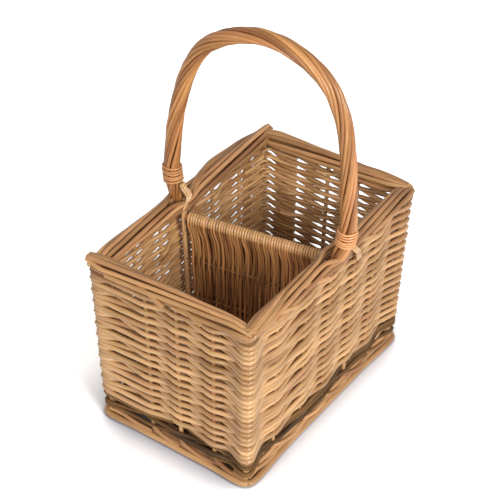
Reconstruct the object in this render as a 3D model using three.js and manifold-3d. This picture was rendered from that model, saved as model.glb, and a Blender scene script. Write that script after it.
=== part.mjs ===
// Rectangular wicker basket for bottles, with a roped bow handle and a woven divider across the middle.
// Millimetres, +Z up. The origin is under the middle of the basket, on the surface that it stands on.
// X runs along the basket and Y across it. Walls are named front (-Y), right (+X), back (+Y) and left (-X).

import * as THREE from "three";
import { mergeVertices } from "three/addons/utils/BufferGeometryUtils.js";
import Module from "manifold-3d";

const wasm = await Module();
wasm.setup();

// Fit between pieces that touch
const touchGap = 0.3;

// Body, measured between the stake lines of opposite walls
const floorLength = 266;
const floorWidth = 167.5;
const rimLength = 277.5;
const rimWidth = 175.5;
const rimLevel = 190;

// Upright rods
const stakeThickness = 4.6;
const postThickness = 7;
const longStakeShares = [-0.66, -0.31, 0, 0.32, 0.62];
const shortStakeShares = [-0.36, 0.06, 0.55];

// Buff weavers of the walls
const weaverThickness = 4.6;
const weaverBackShare = 0.6; // a weaver is flatter on its inner side
const rowPitch = 5.2;
const weaverPress = 0.4; // the weavers press on each other where they cross, beside the middle stake

// Dark weavers at the bottom of the walls
const upsettThickness = 6.2;
const upsettRowCount = 3;
const upsettSqueezeShare = 0.93;

// Foot rim
const footRodThickness = 6.8;
const footSpread = 6.3; // from the stake line out to the middle of the outer foot rod
const footDoubling = 5.7; // between the two foot rods
const footLoopThickness = 5.8;
const footHeight = 13.3;
const footLoopReachShare = 0.86;

// Woven floor
const floorGrip = 0.2; // how far the middle stick presses into the rods that it carries
const floorStickThickness = 5.2;
const floorRodThickness = 4.4;
const floorRodWidth = 10.2;
const floorRodPitch = 11;
const floorStickShares = [-0.56, 0, 0.56];

// Rolled border: a roll of rods laid side by side, which work slowly over it from the inside out
const borderRodThickness = 6.4;
const borderRodCount = 9; // round the whole roll
const borderWidth = 21.5;
const borderHeight = 15;
const borderLay = 95; // along the wall, for a rod to work past the place of its neighbour
const borderStepLength = 45;

// Bow handle
const bowSwell = 16.25; // how far the legs bulge out past the stake line of the rim
const bowTopLevel = 410;
const bowLean = -10; // the top of the bow leans over towards the front wall
const bowTwistDeg = 3.8; // the two feet are not quite opposite each other
const bowOffset = -3.5;
const bowCoreThickness = 8;
const ropingThickness = 4.5;
const ropingCount = 8;
const ropingTurns = 2.4;
const bowStepCount = 26;
const bowThinShare = 0.92;
const bowTipShare = 0.62;
const bowTipLength = 20;
// Half of the bow's outline. Its leg, from the tip up: share of the swell, share of the rise
const bowLegShares = [
  [0.25, 0],
  [0.744, 0.085],
  [1, 0.18],
];
// Its arch, on to the top: share of the half span, share of the rise
const bowArchShares = [
  [0.993, 0.29],
  [0.975, 0.41],
  [0.938, 0.54],
  [0.87, 0.68],
  [0.795, 0.77],
  [0.668, 0.863],
  [0.482, 0.932],
  [0.25, 0.98],
  [0, 1],
];

// Cane that binds the feet of the bow
const caneThickness = 2;
const canePitch = 2.95;
const bindingTurns = 6;
const bindingLevel = 213;
const bindingSteps = 12;
const bindingSides = 5;

// Cane ties at the feet of the bow
const tieCaneThickness = 2.2;
const tieCaneCount = 3;
const tieValleyShare = 0.45;
const tieLength = 56; // how far the front tie runs down and along the wall
const tieLean = 40;

// Divider
const railThickness = 4.8;
const topRailThickness = 8;
const topRailLevel = 182;
const lowRailLevel = 36;
const midRailLevel = 84;
const highRailLevel = 132;
const strandThickness = 3.8;
const strandCount = 24;
const strandTail = 9; // what hangs down behind the top rail
const gripVariety = 0.2; // no two rods press on what carries them quite alike
const dividerStakeThickness = 5.2;
const railGrip = 0.2; // how far the middle rail presses into the strands

// Derived sizes
const up = new THREE.Vector3(0, 0, 1);
const goldenAngle = Math.PI * (3 - Math.sqrt(5));
const stakeRadius = stakeThickness / 2;
const postRadius = postThickness / 2;
const weaverRadius = weaverThickness / 2;
const upsettRadius = upsettThickness / 2;
const upsettPitch = upsettThickness * upsettSqueezeShare;
const upsettFirst = footHeight + upsettRadius;
const upsettTop = upsettFirst + (upsettRowCount - 1) * upsettPitch + upsettRadius;
const weaveFirst = upsettTop + touchGap + weaverRadius;
const rowCount = Math.floor((rimLevel - weaveFirst) / rowPitch) + 1;
const weaveTop = weaveFirst + (rowCount - 1) * rowPitch + weaverRadius;
const hexFlatShare = Math.cos(Math.PI / 6);
const borderRodRadius = borderRodThickness / 2;
const borderHalf = borderWidth / 2;
const borderFoot = weaveTop + touchGap;
const borderTop = borderFoot + borderHeight;
const borderAxisLevel = borderFoot + borderRodRadius;
const borderRodShares = [0.25, 1, 1]; // the outline of a rod in the roll, from the valley before it
const footRodRadius = footRodThickness / 2;
const footRodLevel = footRodRadius * hexFlatShare;
const stakeFoot = footRodLevel * 2 + touchGap;
const stakeHead = weaveTop;
const floorRodRadius = floorRodThickness / 2;
const floorStickRadius = floorStickThickness / 2;
const floorSwing = floorStickRadius + touchGap + floorRodRadius;
const floorLevel = footHeight + floorSwing + floorRodRadius - floorStickRadius;
const floorTop = floorLevel + floorSwing + floorRodRadius;
const ropingRadius = ropingThickness / 2;
const bowCoreRadius = bowCoreThickness / 2;
const ropingLay = bowCoreRadius + touchGap + ropingRadius;
const bowRadius = ropingLay + ropingRadius;
const bowFootLevel = weaveTop + touchGap;
const bowRise = bowTopLevel - bowFootLevel;
const halfSpan = rimWidth / 2 + bowSwell;
const twist = THREE.MathUtils.degToRad(bowTwistDeg);
const strandRadius = strandThickness / 2;
const railRadius = railThickness / 2;
const topRailRadius = topRailThickness / 2;
const strandSwing = railRadius + touchGap + strandRadius;
const strandWrapSteps = 3;
const strandWrap = (topRailRadius + touchGap) / Math.cos(Math.PI / strandWrapSteps / 2) + strandRadius;
const dividerStakeRadius = dividerStakeThickness / 2;

// Finishes
const finishes = {
  buff: { color: 0xc69a63, roughness: 0.5, metalness: 0 },
  stake: { color: 0xb98c58, roughness: 0.55, metalness: 0 },
  dark: { color: 0x5b4a33, roughness: 0.6, metalness: 0 },
  border: { color: 0xc2935c, roughness: 0.48, metalness: 0 },
  handle: { color: 0xc48a4b, roughness: 0.42, metalness: 0 },
  cane: { color: 0xcb9a5e, roughness: 0.45, metalness: 0 },
  divider: { color: 0xb98b52, roughness: 0.5, metalness: 0 },
  floor: { color: 0xae8452, roughness: 0.6, metalness: 0 },
};

const basket = new THREE.Group();

function addPiece(parent, name, geometry, finish) {
  const mesh = new THREE.Mesh(geometry, new THREE.MeshStandardMaterial(finishes[finish]));
  mesh.name = name;
  parent.add(mesh);
  return mesh;
}

// Half sizes of the body between stake lines, at a level above the ground
function halfLength(level) {
  return THREE.MathUtils.mapLinear(level, 0, rimLevel, floorLength, rimLength) / 2;
}

function halfWidth(level) {
  return THREE.MathUtils.mapLinear(level, 0, rimLevel, floorWidth, rimWidth) / 2;
}

// The four walls in order round the basket. A wall's first corner has the number firstPost, counting every
// upright round the basket, so that the weavers' over and under carries on from wall to wall.
const longPieces = longStakeShares.length + 1;
const shortPieces = shortStakeShares.length + 1;
const walls = [
  { name: "front", turn: 0, long: true, firstPost: 0 },
  { name: "right", turn: Math.PI / 2, long: false, firstPost: longPieces },
  { name: "back", turn: Math.PI, long: true, firstPost: longPieces + shortPieces },
  { name: "left", turn: Math.PI * 1.5, long: false, firstPost: longPieces * 2 + shortPieces },
];
const uprightCount = (longPieces + shortPieces) * 2;

function wallDepth(wall, level) {
  return wall.long ? halfWidth(level) : halfLength(level);
}

function wallReach(wall, level) {
  return wall.long ? halfLength(level) : halfWidth(level);
}

// A point of a wall: along it, out from its stake line, and its level
function onWall(wall, along, out, level) {
  return new THREE.Vector3(along, -wallDepth(wall, level) - out, level).applyAxisAngle(up, wall.turn);
}

// The plane through a corner where two walls meet, with half the fit left on each side. end is -1 or 1.
function mitre(wall, end) {
  const corner = (out, level) =>
    onWall(wall, end * (wallReach(wall, level) + out - touchGap), out, level);
  return new THREE.Plane().setFromCoplanarPoints(
    corner(0, 0),
    corner(0, rimLevel),
    corner(weaverThickness, 0),
  );
}

// The geometry with its faces turned outwards
function facingOut(geometry) {
  const place = geometry.attributes.position;
  const index = geometry.index.array;
  const corner = (i) => new THREE.Vector3().fromBufferAttribute(place, index[i]);
  let volume = 0;
  for (let i = 0; i < index.length; i += 3)
    volume += corner(i).dot(corner(i + 1).cross(corner(i + 2)));
  if (volume < 0)
    for (let i = 0; i < index.length; i += 3)
      [index[i + 1], index[i + 2]] = [index[i + 2], index[i + 1]];
  geometry.computeVertexNormals();
  return geometry;
}

// A closed skin through sections that all have the same number of points. outline is the first of them, flat.
function loft(sections, outline) {
  const sides = sections[0].length;
  const last = (sections.length - 1) * sides;
  const index = [];
  for (let base = 0; base < last; base += sides)
    for (let side = 0; side < sides; side += 1) {
      const next = (side + 1) % sides;
      index.push(base + side, base + next, base + sides + next);
      index.push(base + side, base + sides + next, base + sides + side);
    }
  const flat = outline.map(([aside, over]) => new THREE.Vector2(aside, over));
  for (const [a, b, c] of THREE.ShapeUtils.triangulateShape(flat, [])) {
    index.push(a, c, b);
    index.push(last + a, last + b, last + c);
  }
  const geometry = new THREE.BufferGeometry();
  geometry.setFromPoints(sections.flat());
  geometry.setIndex(index);
  return facingOut(geometry);
}

// A rod along points. Its section has a half width across and a half height towards lift, which is one
// vector, or one for each point. size(i) scales the section. A cut plane slants an end of the rod.
// outline(i) gives another section, as pairs of a place across and a place towards lift.
function rod(
  points,
  { across, high = across, sides = 6, outline, lift = up, size = () => 1, cuts = [] },
) {
  const round = Array.from({ length: sides }, (_, side) => {
    const angle = (side * Math.PI * 2) / sides;
    return [Math.cos(angle) * across, Math.sin(angle) * high];
  });
  const sections = outline ?? (() => round);
  const rings = points.map((point, i) => {
    const before = points[Math.max(i - 1, 0)];
    const after = points[Math.min(i + 1, points.length - 1)];
    const along = after.clone().sub(before).normalize();
    const lifted = Array.isArray(lift) ? lift[i] : lift;
    const wide = lifted.clone().cross(along).normalize();
    const tall = along.clone().cross(wide);
    const ring = sections(i).map(([aside, over]) =>
      point
        .clone()
        .addScaledVector(wide, aside * size(i))
        .addScaledVector(tall, over * size(i)),
    );
    const cut = i === 0 ? cuts[0] : i === points.length - 1 ? cuts[1] : undefined;
    if (cut)
      for (const corner of ring)
        corner.addScaledVector(along, -cut.distanceToPoint(corner) / cut.normal.dot(along));
    return ring;
  });
  return loft(rings, sections(0));
}

// How far the numbered one of many rods presses into what carries it
function gripOf(number) {
  return gripVariety * Math.abs(Math.sin(number * goldenAngle));
}

// manifold-3d: several closed geometries joined into one
function solidOf(geometry) {
  const bare = geometry.clone();
  bare.deleteAttribute("normal");
  const merged = mergeVertices(bare);
  return new wasm.Manifold(
    new wasm.Mesh({
      numProp: 3,
      vertProperties: new Float32Array(merged.attributes.position.array),
      triVerts: new Uint32Array(merged.index.array),
    }),
  );
}

function joined(geometries) {
  const whole = geometries.map(solidOf).reduce((sum, next) => sum.add(next));
  const mesh = whole.getMesh();
  const places = new Float32Array(mesh.numVert * 3);
  for (let i = 0; i < mesh.numVert; i += 1)
    places.set(mesh.vertProperties.subarray(i * mesh.numProp, i * mesh.numProp + 3), i * 3);
  const geometry = new THREE.BufferGeometry();
  geometry.setAttribute("position", new THREE.BufferAttribute(places, 3));
  geometry.setIndex([...mesh.triVerts]);
  geometry.computeVertexNormals();
  return geometry;
}

// Uprights: an upright stands on the stake line, at a share of the wall's reach
function stakeShares(wall) {
  return wall.long ? longStakeShares : shortStakeShares;
}

function outward(wall) {
  return new THREE.Vector3(0, -1, 0).applyAxisAngle(up, wall.turn);
}

function upright(wall, share, radius, foot, head) {
  const ends = [foot, head].map((level) => onWall(wall, share * wallReach(wall, level), 0, level));
  return rod(ends, { across: radius, sides: 8, lift: outward(wall) });
}

// One row of weaving along a wall. It swings from one side of an upright to the other at the next. At the
// corner where the ends of the weavers are laid in, between the left wall and the front, every row stays out.
// back and front are how far the row reaches in and out from its path.
function rowPath(wall, level, row, back, front) {
  const reach = wallReach(wall, level);
  const place = (number, along, radius) => {
    const out = number % uprightCount === 0 || (number + row) % 2 === 1;
    const swing = out ? radius + touchGap + back : -radius - touchGap - front;
    return onWall(wall, along, swing, level);
  };
  const shares = stakeShares(wall);
  return [
    place(wall.firstPost, -reach, postRadius),
    ...shares.map((share, i) => place(wall.firstPost + 1 + i, share * reach, stakeRadius)),
    place(wall.firstPost + 1 + shares.length, reach, postRadius),
  ];
}

// Wall weave: the rows of one wall, which hold each other where they cross, beside the middle stake
function wallWeave(wall) {
  const back = weaverRadius * weaverBackShare;
  const section = (high) => [
    [back, high],
    [-weaverRadius, 0],
    [back, -high],
  ];
  const rows = [];
  for (let row = 0; row < rowCount; row += 1) {
    const path = rowPath(wall, weaveFirst + row * rowPitch, row, back, weaverRadius);
    const cross = Math.ceil(path.length / 2);
    path.splice(cross, 0, path[cross - 1].clone().lerp(path[cross], 1 / 2));
    rows.push(
      rod(path, {
        outline: (i) => section(i === cross ? (rowPitch + weaverPress) / 2 : weaverRadius),
        cuts: [mitre(wall, -1), mitre(wall, 1)],
      }),
    );
  }
  return joined(rows);
}

// Upsett: the dark rods at the bottom of a wall, which press on each other at every crossing
function upsett(wall) {
  const rows = [];
  for (let row = 0; row < upsettRowCount; row += 1) {
    const level = upsettFirst + row * upsettPitch;
    rows.push(
      rod(rowPath(wall, level, row + 1, upsettRadius, upsettRadius), {
        across: upsettRadius,
        sides: 4,
        cuts: [mitre(wall, -1), mitre(wall, 1)],
      }),
    );
  }
  return joined(rows);
}

// Foot: a doubled rim that lies flat on the ground, and a rod from each upright that runs down into it
function foot(wall) {
  const cuts = [mitre(wall, -1), mitre(wall, 1)];
  const rim = (out) =>
    rod(
      [-1, 1].map((end) => onWall(wall, end * wallReach(wall, footRodLevel), out, footRodLevel)),
      { across: footRodRadius, cuts },
    );
  const loopRadius = footLoopThickness / 2;
  const high = footHeight - touchGap - loopRadius;
  const low = footRodLevel + loopRadius;
  const reach = wallReach(wall, low);
  const out = stakeRadius + touchGap + loopRadius;
  const cornerStep = postRadius + loopRadius;
  const starts = [-reach + cornerStep, ...stakeShares(wall).map((share) => share * reach)];
  const loops = starts.map((start, i) => {
    const next = i + 1 < starts.length ? starts[i + 1] : reach;
    const end = THREE.MathUtils.lerp(start, next, footLoopReachShare);
    return rod([onWall(wall, start, out, high), onWall(wall, end, footSpread, low)], {
      across: loopRadius,
    });
  });
  return joined([rim(footSpread), rim(footSpread - footDoubling), ...loops]);
}

// The section of the border: rods round a roll that is flatter below. phase is how far they have worked on.
function borderSection(phase) {
  const points = [];
  const round = borderRodCount * borderRodShares.length;
  for (let i = 0; i < round; i += 1) {
    const angle = ((i + phase * borderRodShares.length) * Math.PI * 2) / round;
    const swell = 1 - borderRodShares[i % borderRodShares.length];
    const over = Math.sin(angle) > 0 ? borderHeight - borderRodRadius : borderRodRadius;
    points.push([
      Math.cos(angle) * (borderHalf - swell * borderRodRadius),
      Math.sin(angle) * (over - swell * borderRodRadius * Math.abs(Math.sin(angle))),
    ]);
  }
  return points;
}

function border(wall, from, to, cuts) {
  const steps = Math.ceil((to - from) / borderStepLength);
  const path = [];
  const phases = [];
  for (let step = 0; step <= steps; step += 1) {
    const along = THREE.MathUtils.lerp(from, to, step / steps);
    path.push(onWall(wall, along, 0, borderAxisLevel));
    phases.push(along / borderLay);
  }
  return rod(path, { outline: (i) => borderSection(phases[i]), cuts });
}

// Where a foot of the bow stands along its long wall. side is -1 for the front foot and 1 for the back one.
function bowFootAlong(side) {
  return bowOffset - side * Math.sin(twist) * halfOutline[0].across;
}

function borders() {
  for (const wall of walls) {
    const start = mitre(wall, -1);
    const stop = mitre(wall, 1);
    const reach = wallReach(wall, borderAxisLevel);
    if (!wall.long) {
      addPiece(basket, wall.name + "_border", border(wall, -reach, reach, [start, stop]), "border");
      continue;
    }
    // A long side's roll parts at the foot of the bow. along runs the other way on the back wall.
    const side = wall.turn === 0 ? -1 : 1;
    const middle = bowFootAlong(side) * -side;
    const aside = bowRadius + touchGap;
    const first = border(wall, -reach, middle - aside, [start, undefined]);
    const second = border(wall, middle + aside, reach, [undefined, stop]);
    addPiece(basket, wall.name + "_border_a", first, "border");
    addPiece(basket, wall.name + "_border_b", second, "border");
  }
}

// Floor: three sticks along the basket, with flat doubled rods woven across them
function floorRod(x, number, reach) {
  const path = [new THREE.Vector3(x, -reach, floorLevel)];
  floorStickShares.forEach((share, i) => {
    const press = share === 0 ? gripOf(number) : 0;
    const swing = (number + i) % 2 === 0 ? floorSwing - press : press - floorSwing;
    path.push(new THREE.Vector3(x, share * reach, floorLevel + swing));
  });
  path.push(new THREE.Vector3(x, reach, floorLevel));
  return rod(path, {
    across: floorRodWidth / 2,
    high: floorRodRadius,
    sides: 4,
    lift: up,
  });
}

function floor() {
  const edge = stakeRadius + upsettThickness + touchGap * 2;
  const reachX = halfLength(floorLevel) - edge;
  const reachY = halfWidth(floorLevel) - edge;
  const rods = [];
  const count = Math.floor((reachX * 2 - floorRodWidth) / floorRodPitch) + 1;
  for (let i = 0; i < count; i += 1)
    rods.push(floorRod((i - (count - 1) / 2) * floorRodPitch, i, reachY));
  const middle = Math.floor(floorStickShares.length / 2);
  floorStickShares.forEach((share, i) => {
    const ends = [-1, 1].map((end) => new THREE.Vector3(end * reachX, share * reachY, floorLevel));
    const radius = i === middle ? floorStickRadius + touchGap + floorGrip : floorStickRadius;
    const stick = rod(ends, { across: radius, sides: 8 });
    if (i === middle) rods.push(stick);
    else addPiece(basket, i < middle ? "floor_stick_front" : "floor_stick_back", stick, "floor");
  });
  addPiece(basket, "floor_weave", joined(rods), "floor");
}

// Bow: its middle line lies in an upright plane, from the front tip over the top to the back tip
const halfOutline = [
  ...bowLegShares.map(([swell, rise]) => ({ across: rimWidth / 2 + swell * bowSwell, rise })),
  ...bowArchShares.map(([across, rise]) => ({ across: across * halfSpan, rise })),
].map(({ across, rise }) => ({
  across,
  level: bowFootLevel + rise * bowRise,
  shift: bowLean * rise ** 2,
}));
const bowLine = new THREE.CatmullRomCurve3(
  [
    ...halfOutline.map(({ across, level, shift }) => new THREE.Vector3(0, -across + shift, level)),
    ...halfOutline
      .slice(0, -1)
      .reverse()
      .map(({ across, level, shift }) => new THREE.Vector3(0, across + shift, level)),
  ],
  false,
  "centripetal",
);
const bowLength = bowLine.getLength();

// The bow is thinner at its top and tapers to its two tips
function bowSize(share) {
  const tip = Math.min(share, 1 - share) * bowLength;
  const taper = THREE.MathUtils.lerp(bowTipShare, 1, Math.min(1, tip / bowTipLength));
  return taper * THREE.MathUtils.lerp(1, bowThinShare, Math.sin(Math.PI * share));
}

// A point beside the bow's middle line: distance from the line, and the angle round it
function aroundBow(share, distance, angle) {
  const middle = bowLine.getPointAt(share);
  const along = bowLine.getTangentAt(share);
  const across = new THREE.Vector3(1, 0, 0);
  const outward = across.clone().cross(along).normalize();
  const direction = outward
    .multiplyScalar(Math.cos(angle))
    .addScaledVector(across, Math.sin(angle));
  return { point: middle.addScaledVector(direction, distance), direction };
}

function alongBow(distanceAt, angleAt, from, to, steps) {
  const points = [];
  const directions = [];
  for (let step = 0; step <= steps; step += 1) {
    const share = THREE.MathUtils.lerp(from, to, step / steps);
    const { point, direction } = aroundBow(share, distanceAt(share), angleAt(share));
    points.push(point);
    directions.push(direction);
  }
  return { points, directions };
}

// Both tips are cut level, to stand on the top of the weave
const bowEnd = new THREE.Plane(up, -bowFootLevel);
const bowEnds = [bowEnd, bowEnd];

const bow = new THREE.Group();
bow.position.x = bowOffset;
bow.rotation.z = twist;
basket.add(bow);

function bowCore() {
  const { points } = alongBow(
    () => 0,
    () => 0,
    0,
    1,
    bowStepCount,
  );
  return rod(points, {
    across: bowCoreRadius,
    sides: 6,
    lift: new THREE.Vector3(1, 0, 0),
    size: (i) => bowSize(i / bowStepCount),
    cuts: bowEnds,
  });
}

function ropingRod(number) {
  const { points, directions } = alongBow(
    (share) => ropingLay * bowSize(share),
    (share) => (number / ropingCount + share * ropingTurns) * Math.PI * 2,
    0,
    1,
    bowStepCount,
  );
  return rod(points, {
    across: ropingRadius,
    sides: 4,
    lift: directions,
    size: (i) => bowSize(i / bowStepCount),
    cuts: bowEnds,
  });
}

// The share of the bow's length at which its middle line reaches a level, on the front leg
function bowShareAt(level) {
  let low = 0;
  let high = 0.5;
  for (let halving = 0; halving < 30; halving += 1) {
    const middle = (low + high) / 2;
    if (bowLine.getPointAt(middle).z < level) low = middle;
    else high = middle;
  }
  return low;
}

// Binding: one cane wound round a foot of the bow in a helix
function binding(name, side) {
  const rise = (bindingTurns * canePitch) / bowLength;
  const start = bowShareAt(bindingLevel);
  const from = side < 0 ? start : 1 - start - rise;
  const caneRadius = caneThickness / 2;
  const steps = Math.round(bindingTurns * bindingSteps);
  const { points, directions } = alongBow(
    () => bowRadius + touchGap + caneRadius,
    (share) => ((share - from) / rise) * bindingTurns * Math.PI * 2,
    from,
    from + rise,
    steps,
  );
  reportSelfGap(name, points, caneRadius);
  return rod(points, { across: caneRadius, sides: bindingSides, lift: directions });
}

// The least gap between neighbouring turns, measured on the points of the cane's middle line
function reportSelfGap(name, points, radius) {
  let least = Infinity;
  points.forEach((point, i) => {
    for (let other = i + Math.floor(bindingSteps / 2); other < points.length; other += 1)
      least = Math.min(least, point.distanceTo(points[other]));
  });
  console.log(name + ": least gap to itself " + (least - radius * 2).toFixed(2) + " mm");
}

// Ties: canes side by side, run as one band from the foot of the bow
function tie(points, lift) {
  const caneRadius = tieCaneThickness / 2;
  const side = (sign) => {
    const places = [];
    for (let number = 0; number < tieCaneCount; number += 1) {
      const middle = (number - (tieCaneCount - 1) / 2) * tieCaneThickness;
      if (number > 0) places.push([middle - caneRadius, caneRadius * tieValleyShare]);
      places.push([middle - caneRadius / 2, caneRadius], [middle + caneRadius / 2, caneRadius]);
    }
    return places.map(([aside, over]) => [aside * sign, over * sign]);
  };
  const edge = (tieCaneCount / 2) * tieCaneThickness;
  const section = [[edge, 0], ...side(-1), [-edge, 0], ...side(1)].reverse();
  return rod(points, { outline: () => section, lift });
}

// The tie of the front foot crosses the border on the slant and lies on the outside of the wall
function frontTie() {
  const wall = walls[0];
  const clear = touchGap * 2 + tieCaneThickness / 2;
  const foot = bowFootAlong(-1) + bowRadius + clear;
  const overBorder = borderHalf + clear;
  const overWall = weaverThickness + stakeRadius + touchGap + clear;
  const places = [
    [foot, borderHalf * 0.4, borderTop + clear, 0],
    [foot + tieLean * 0.12, borderHalf * 0.9 + clear, borderTop - borderRodRadius, 0.6],
    [foot + tieLean * 0.24, overBorder, borderAxisLevel + borderRodRadius, 1],
    [foot + tieLean * 0.38, overBorder, borderAxisLevel - borderRodRadius, 1],
    [foot + tieLean * 0.55, overWall + clear, borderAxisLevel - borderRodThickness * 2, 1],
    [foot + tieLean, overWall, borderTop - tieLength, 1],
  ];
  const points = places.map(([along, out, level]) => onWall(wall, along, out, level));
  const lifts = places.map(([, , , out]) => new THREE.Vector3(0, -out, 1 - out).normalize());
  return tie(points, lifts);
}

// The tie of the back foot goes down inside, from the bow to the top rail of the divider
function backTie() {
  const clear = touchGap + tieCaneThickness / 2;
  const inner = Math.PI;
  const start = 1 - bowShareAt(bindingLevel - caneThickness);
  const stop = 1 - bowShareAt(borderTop - borderHeight / 2);
  const besideBow = [start, stop].map(
    (share) => aroundBow(share, bowRadius * bowSize(share) + clear, inner).point,
  );
  const rail = topRailLevel + strandWrap + strandRadius + clear;
  const end = new THREE.Vector3(0, dividerStakeAt(topRailLevel) - tieCaneThickness * 2, rail);
  const points = [...besideBow, end];
  const lift = new THREE.Vector3(0, -1, 1).normalize();
  return tie(points, [lift, lift, up]);
}

// Divider: strands woven over three rails and looped over a thicker top one, between two stakes
const divider = new THREE.Group();
divider.position.x = bowOffset;
divider.rotation.z = twist;
basket.add(divider);

// How far out a divider stake stands at a level: against the upsett at its foot, against the weave at its head
function dividerStakeAt(level) {
  const clear = stakeRadius + touchGap * 2 + dividerStakeRadius;
  const low = halfWidth(floorTop) - clear - upsettThickness;
  const high = halfWidth(topRailLevel) - clear - weaverRadius * (1 + weaverBackShare);
  return THREE.MathUtils.mapLinear(level, floorTop, topRailLevel, low, high);
}

function dividerRail(level, radius) {
  const reach = dividerStakeAt(level) - dividerStakeRadius - touchGap;
  const ends = [-1, 1].map((end) => new THREE.Vector3(0, end * reach, level));
  return rod(ends, { across: radius, sides: 8 });
}

const railLevels = [lowRailLevel, midRailLevel, highRailLevel];

function strand(y, number) {
  const side = (i) => ((number + i) % 2 === 0 ? 1 : -1);
  const foot = floorTop + touchGap;
  const path = [[side(0) * strandSwing, foot]];
  railLevels.forEach((level, i) => {
    const press = level === midRailLevel ? gripOf(number) : 0;
    path.push([side(i) * (strandSwing - press), level]);
  });
  const near = side(railLevels.length);
  for (let step = 0; step <= strandWrapSteps; step += 1) {
    const angle = (step * Math.PI) / strandWrapSteps;
    path.push([near * strandWrap * Math.cos(angle), topRailLevel + strandWrap * Math.sin(angle)]);
  }
  path.push([-near * strandWrap, topRailLevel - strandTail]);
  const points = path.map(([x, z]) => new THREE.Vector3(x, y, z));
  return rod(points, { across: strandRadius, sides: 4, lift: new THREE.Vector3(0, 1, 0) });
}

function dividerPieces() {
  const closest = Math.min(dividerStakeAt(floorTop), dividerStakeAt(topRailLevel));
  const reach = closest - dividerStakeThickness - strandRadius;
  const pitch = (reach * 2) / (strandCount - 1);
  const strands = [];
  for (let number = 0; number < strandCount; number += 1)
    strands.push(strand(number * pitch - reach, number));
  strands.push(dividerRail(midRailLevel, railRadius + touchGap + railGrip));
  addPiece(divider, "divider_strands", joined(strands), "divider");
  addPiece(divider, "divider_low_rail", dividerRail(lowRailLevel, railRadius), "divider");
  addPiece(divider, "divider_high_rail", dividerRail(highRailLevel, railRadius), "divider");
  addPiece(divider, "divider_top_rail", dividerRail(topRailLevel, topRailRadius), "divider");
  const head = topRailLevel + topRailRadius;
  for (const [name, end] of [
    ["front", -1],
    ["back", 1],
  ]) {
    const ends = [floorTop + touchGap, head].map(
      (level) => new THREE.Vector3(0, end * dividerStakeAt(level), level),
    );
    const stake = rod(ends, {
      across: dividerStakeRadius,
      sides: 8,
      lift: new THREE.Vector3(1, 0, 0),
    });
    addPiece(divider, "divider_" + name + "_stake", stake, "divider");
  }
}

// The basket
walls.forEach((wall, i) => {
  addPiece(basket, wall.name + "_weave", wallWeave(wall), "buff");
  addPiece(basket, wall.name + "_upsett", upsett(wall), "dark");
  addPiece(basket, wall.name + "_foot", foot(wall), "buff");
  stakeShares(wall).forEach((share, number) => {
    const stake = upright(wall, share, stakeRadius, stakeFoot, stakeHead);
    addPiece(basket, wall.name + "_stake_" + (number + 1), stake, "stake");
  });
  const post = upright(wall, -1, postRadius, stakeFoot, stakeHead);
  addPiece(basket, "corner_post_" + (i + 1), post, "stake");
});
borders();
floor();
dividerPieces();
addPiece(bow, "bow_core", bowCore(), "handle");
for (let number = 0; number < ropingCount; number += 1)
  addPiece(bow, "bow_roping_" + (number + 1), ropingRod(number), "handle");
addPiece(bow, "bow_front_binding", binding("bow_front_binding", -1), "cane");
addPiece(bow, "bow_back_binding", binding("bow_back_binding", 1), "cane");
addPiece(basket, "bow_front_tie", frontTie(), "cane");
addPiece(bow, "bow_back_tie", backTie(), "cane");

export default basket;
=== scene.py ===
# Rectangular wicker basket for bottles, with a roped bow handle and a woven divider across the middle.
# Sizes in the settings are metres. Inside the functions that lay out rods, lengths are millimetres.
# X runs along the basket and Y across it. The walls are front (-Y), right (+X), back (+Y) and left (-X).

import math
import random
from bisect import bisect_right
from dataclasses import dataclass
from functools import partial

import bpy
from bpy.props import FloatProperty, FloatVectorProperty, IntProperty, PointerProperty
from bpy.types import Operator, Panel, PropertyGroup
from mathutils import Matrix, Vector, noise


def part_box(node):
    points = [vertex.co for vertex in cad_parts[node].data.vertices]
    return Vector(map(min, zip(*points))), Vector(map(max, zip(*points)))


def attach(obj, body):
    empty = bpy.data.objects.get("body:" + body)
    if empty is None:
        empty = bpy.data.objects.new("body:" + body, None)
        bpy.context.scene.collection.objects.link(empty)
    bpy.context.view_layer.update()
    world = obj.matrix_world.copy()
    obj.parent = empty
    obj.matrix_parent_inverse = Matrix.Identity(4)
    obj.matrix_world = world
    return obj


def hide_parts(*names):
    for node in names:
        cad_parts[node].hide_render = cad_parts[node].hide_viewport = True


# Without a seed, the noise that bends the rods would differ from run to run
noise.seed_set(1)

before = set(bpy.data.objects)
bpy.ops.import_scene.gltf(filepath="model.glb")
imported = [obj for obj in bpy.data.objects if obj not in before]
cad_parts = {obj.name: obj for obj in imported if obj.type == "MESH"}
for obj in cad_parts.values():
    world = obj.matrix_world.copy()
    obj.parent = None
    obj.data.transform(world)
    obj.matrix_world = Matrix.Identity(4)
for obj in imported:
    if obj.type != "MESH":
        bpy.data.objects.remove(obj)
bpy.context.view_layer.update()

bl_info = {
    "name": "Wine bottle basket",
    "version": (1, 0, 0),
    "blender": (4, 5, 0),
    "location": "View3D > Sidebar > Basket",
    "description": "Weaves a willow bottle basket with a bow handle and a divider",
    "category": "Add Mesh",
}

MM = 0.001
UP = Vector((0, 0, 1))


def box_mm(node):
    """Lowest and highest corner of a CAD node, in millimetres."""
    low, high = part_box(node)
    return Vector(low) / MM, Vector(high) / MM


def colour(red, green, blue):
    """A colour as a screen shows it, from 0 to 255, turned into Blender's linear colour."""
    return tuple(
        c / 12.92 if c <= 0.04045 else ((c + 0.055) / 1.055) ** 2.4
        for c in (red / 255, green / 255, blue / 255)
    )


def length_setting(name, description, millimetres):
    return FloatProperty(
        name=name, description=description, default=millimetres * MM, unit="LENGTH", precision=4
    )


def angle_setting(name, description, degrees):
    return FloatProperty(
        name=name, description=description, default=math.radians(degrees), subtype="ANGLE"
    )


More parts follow.
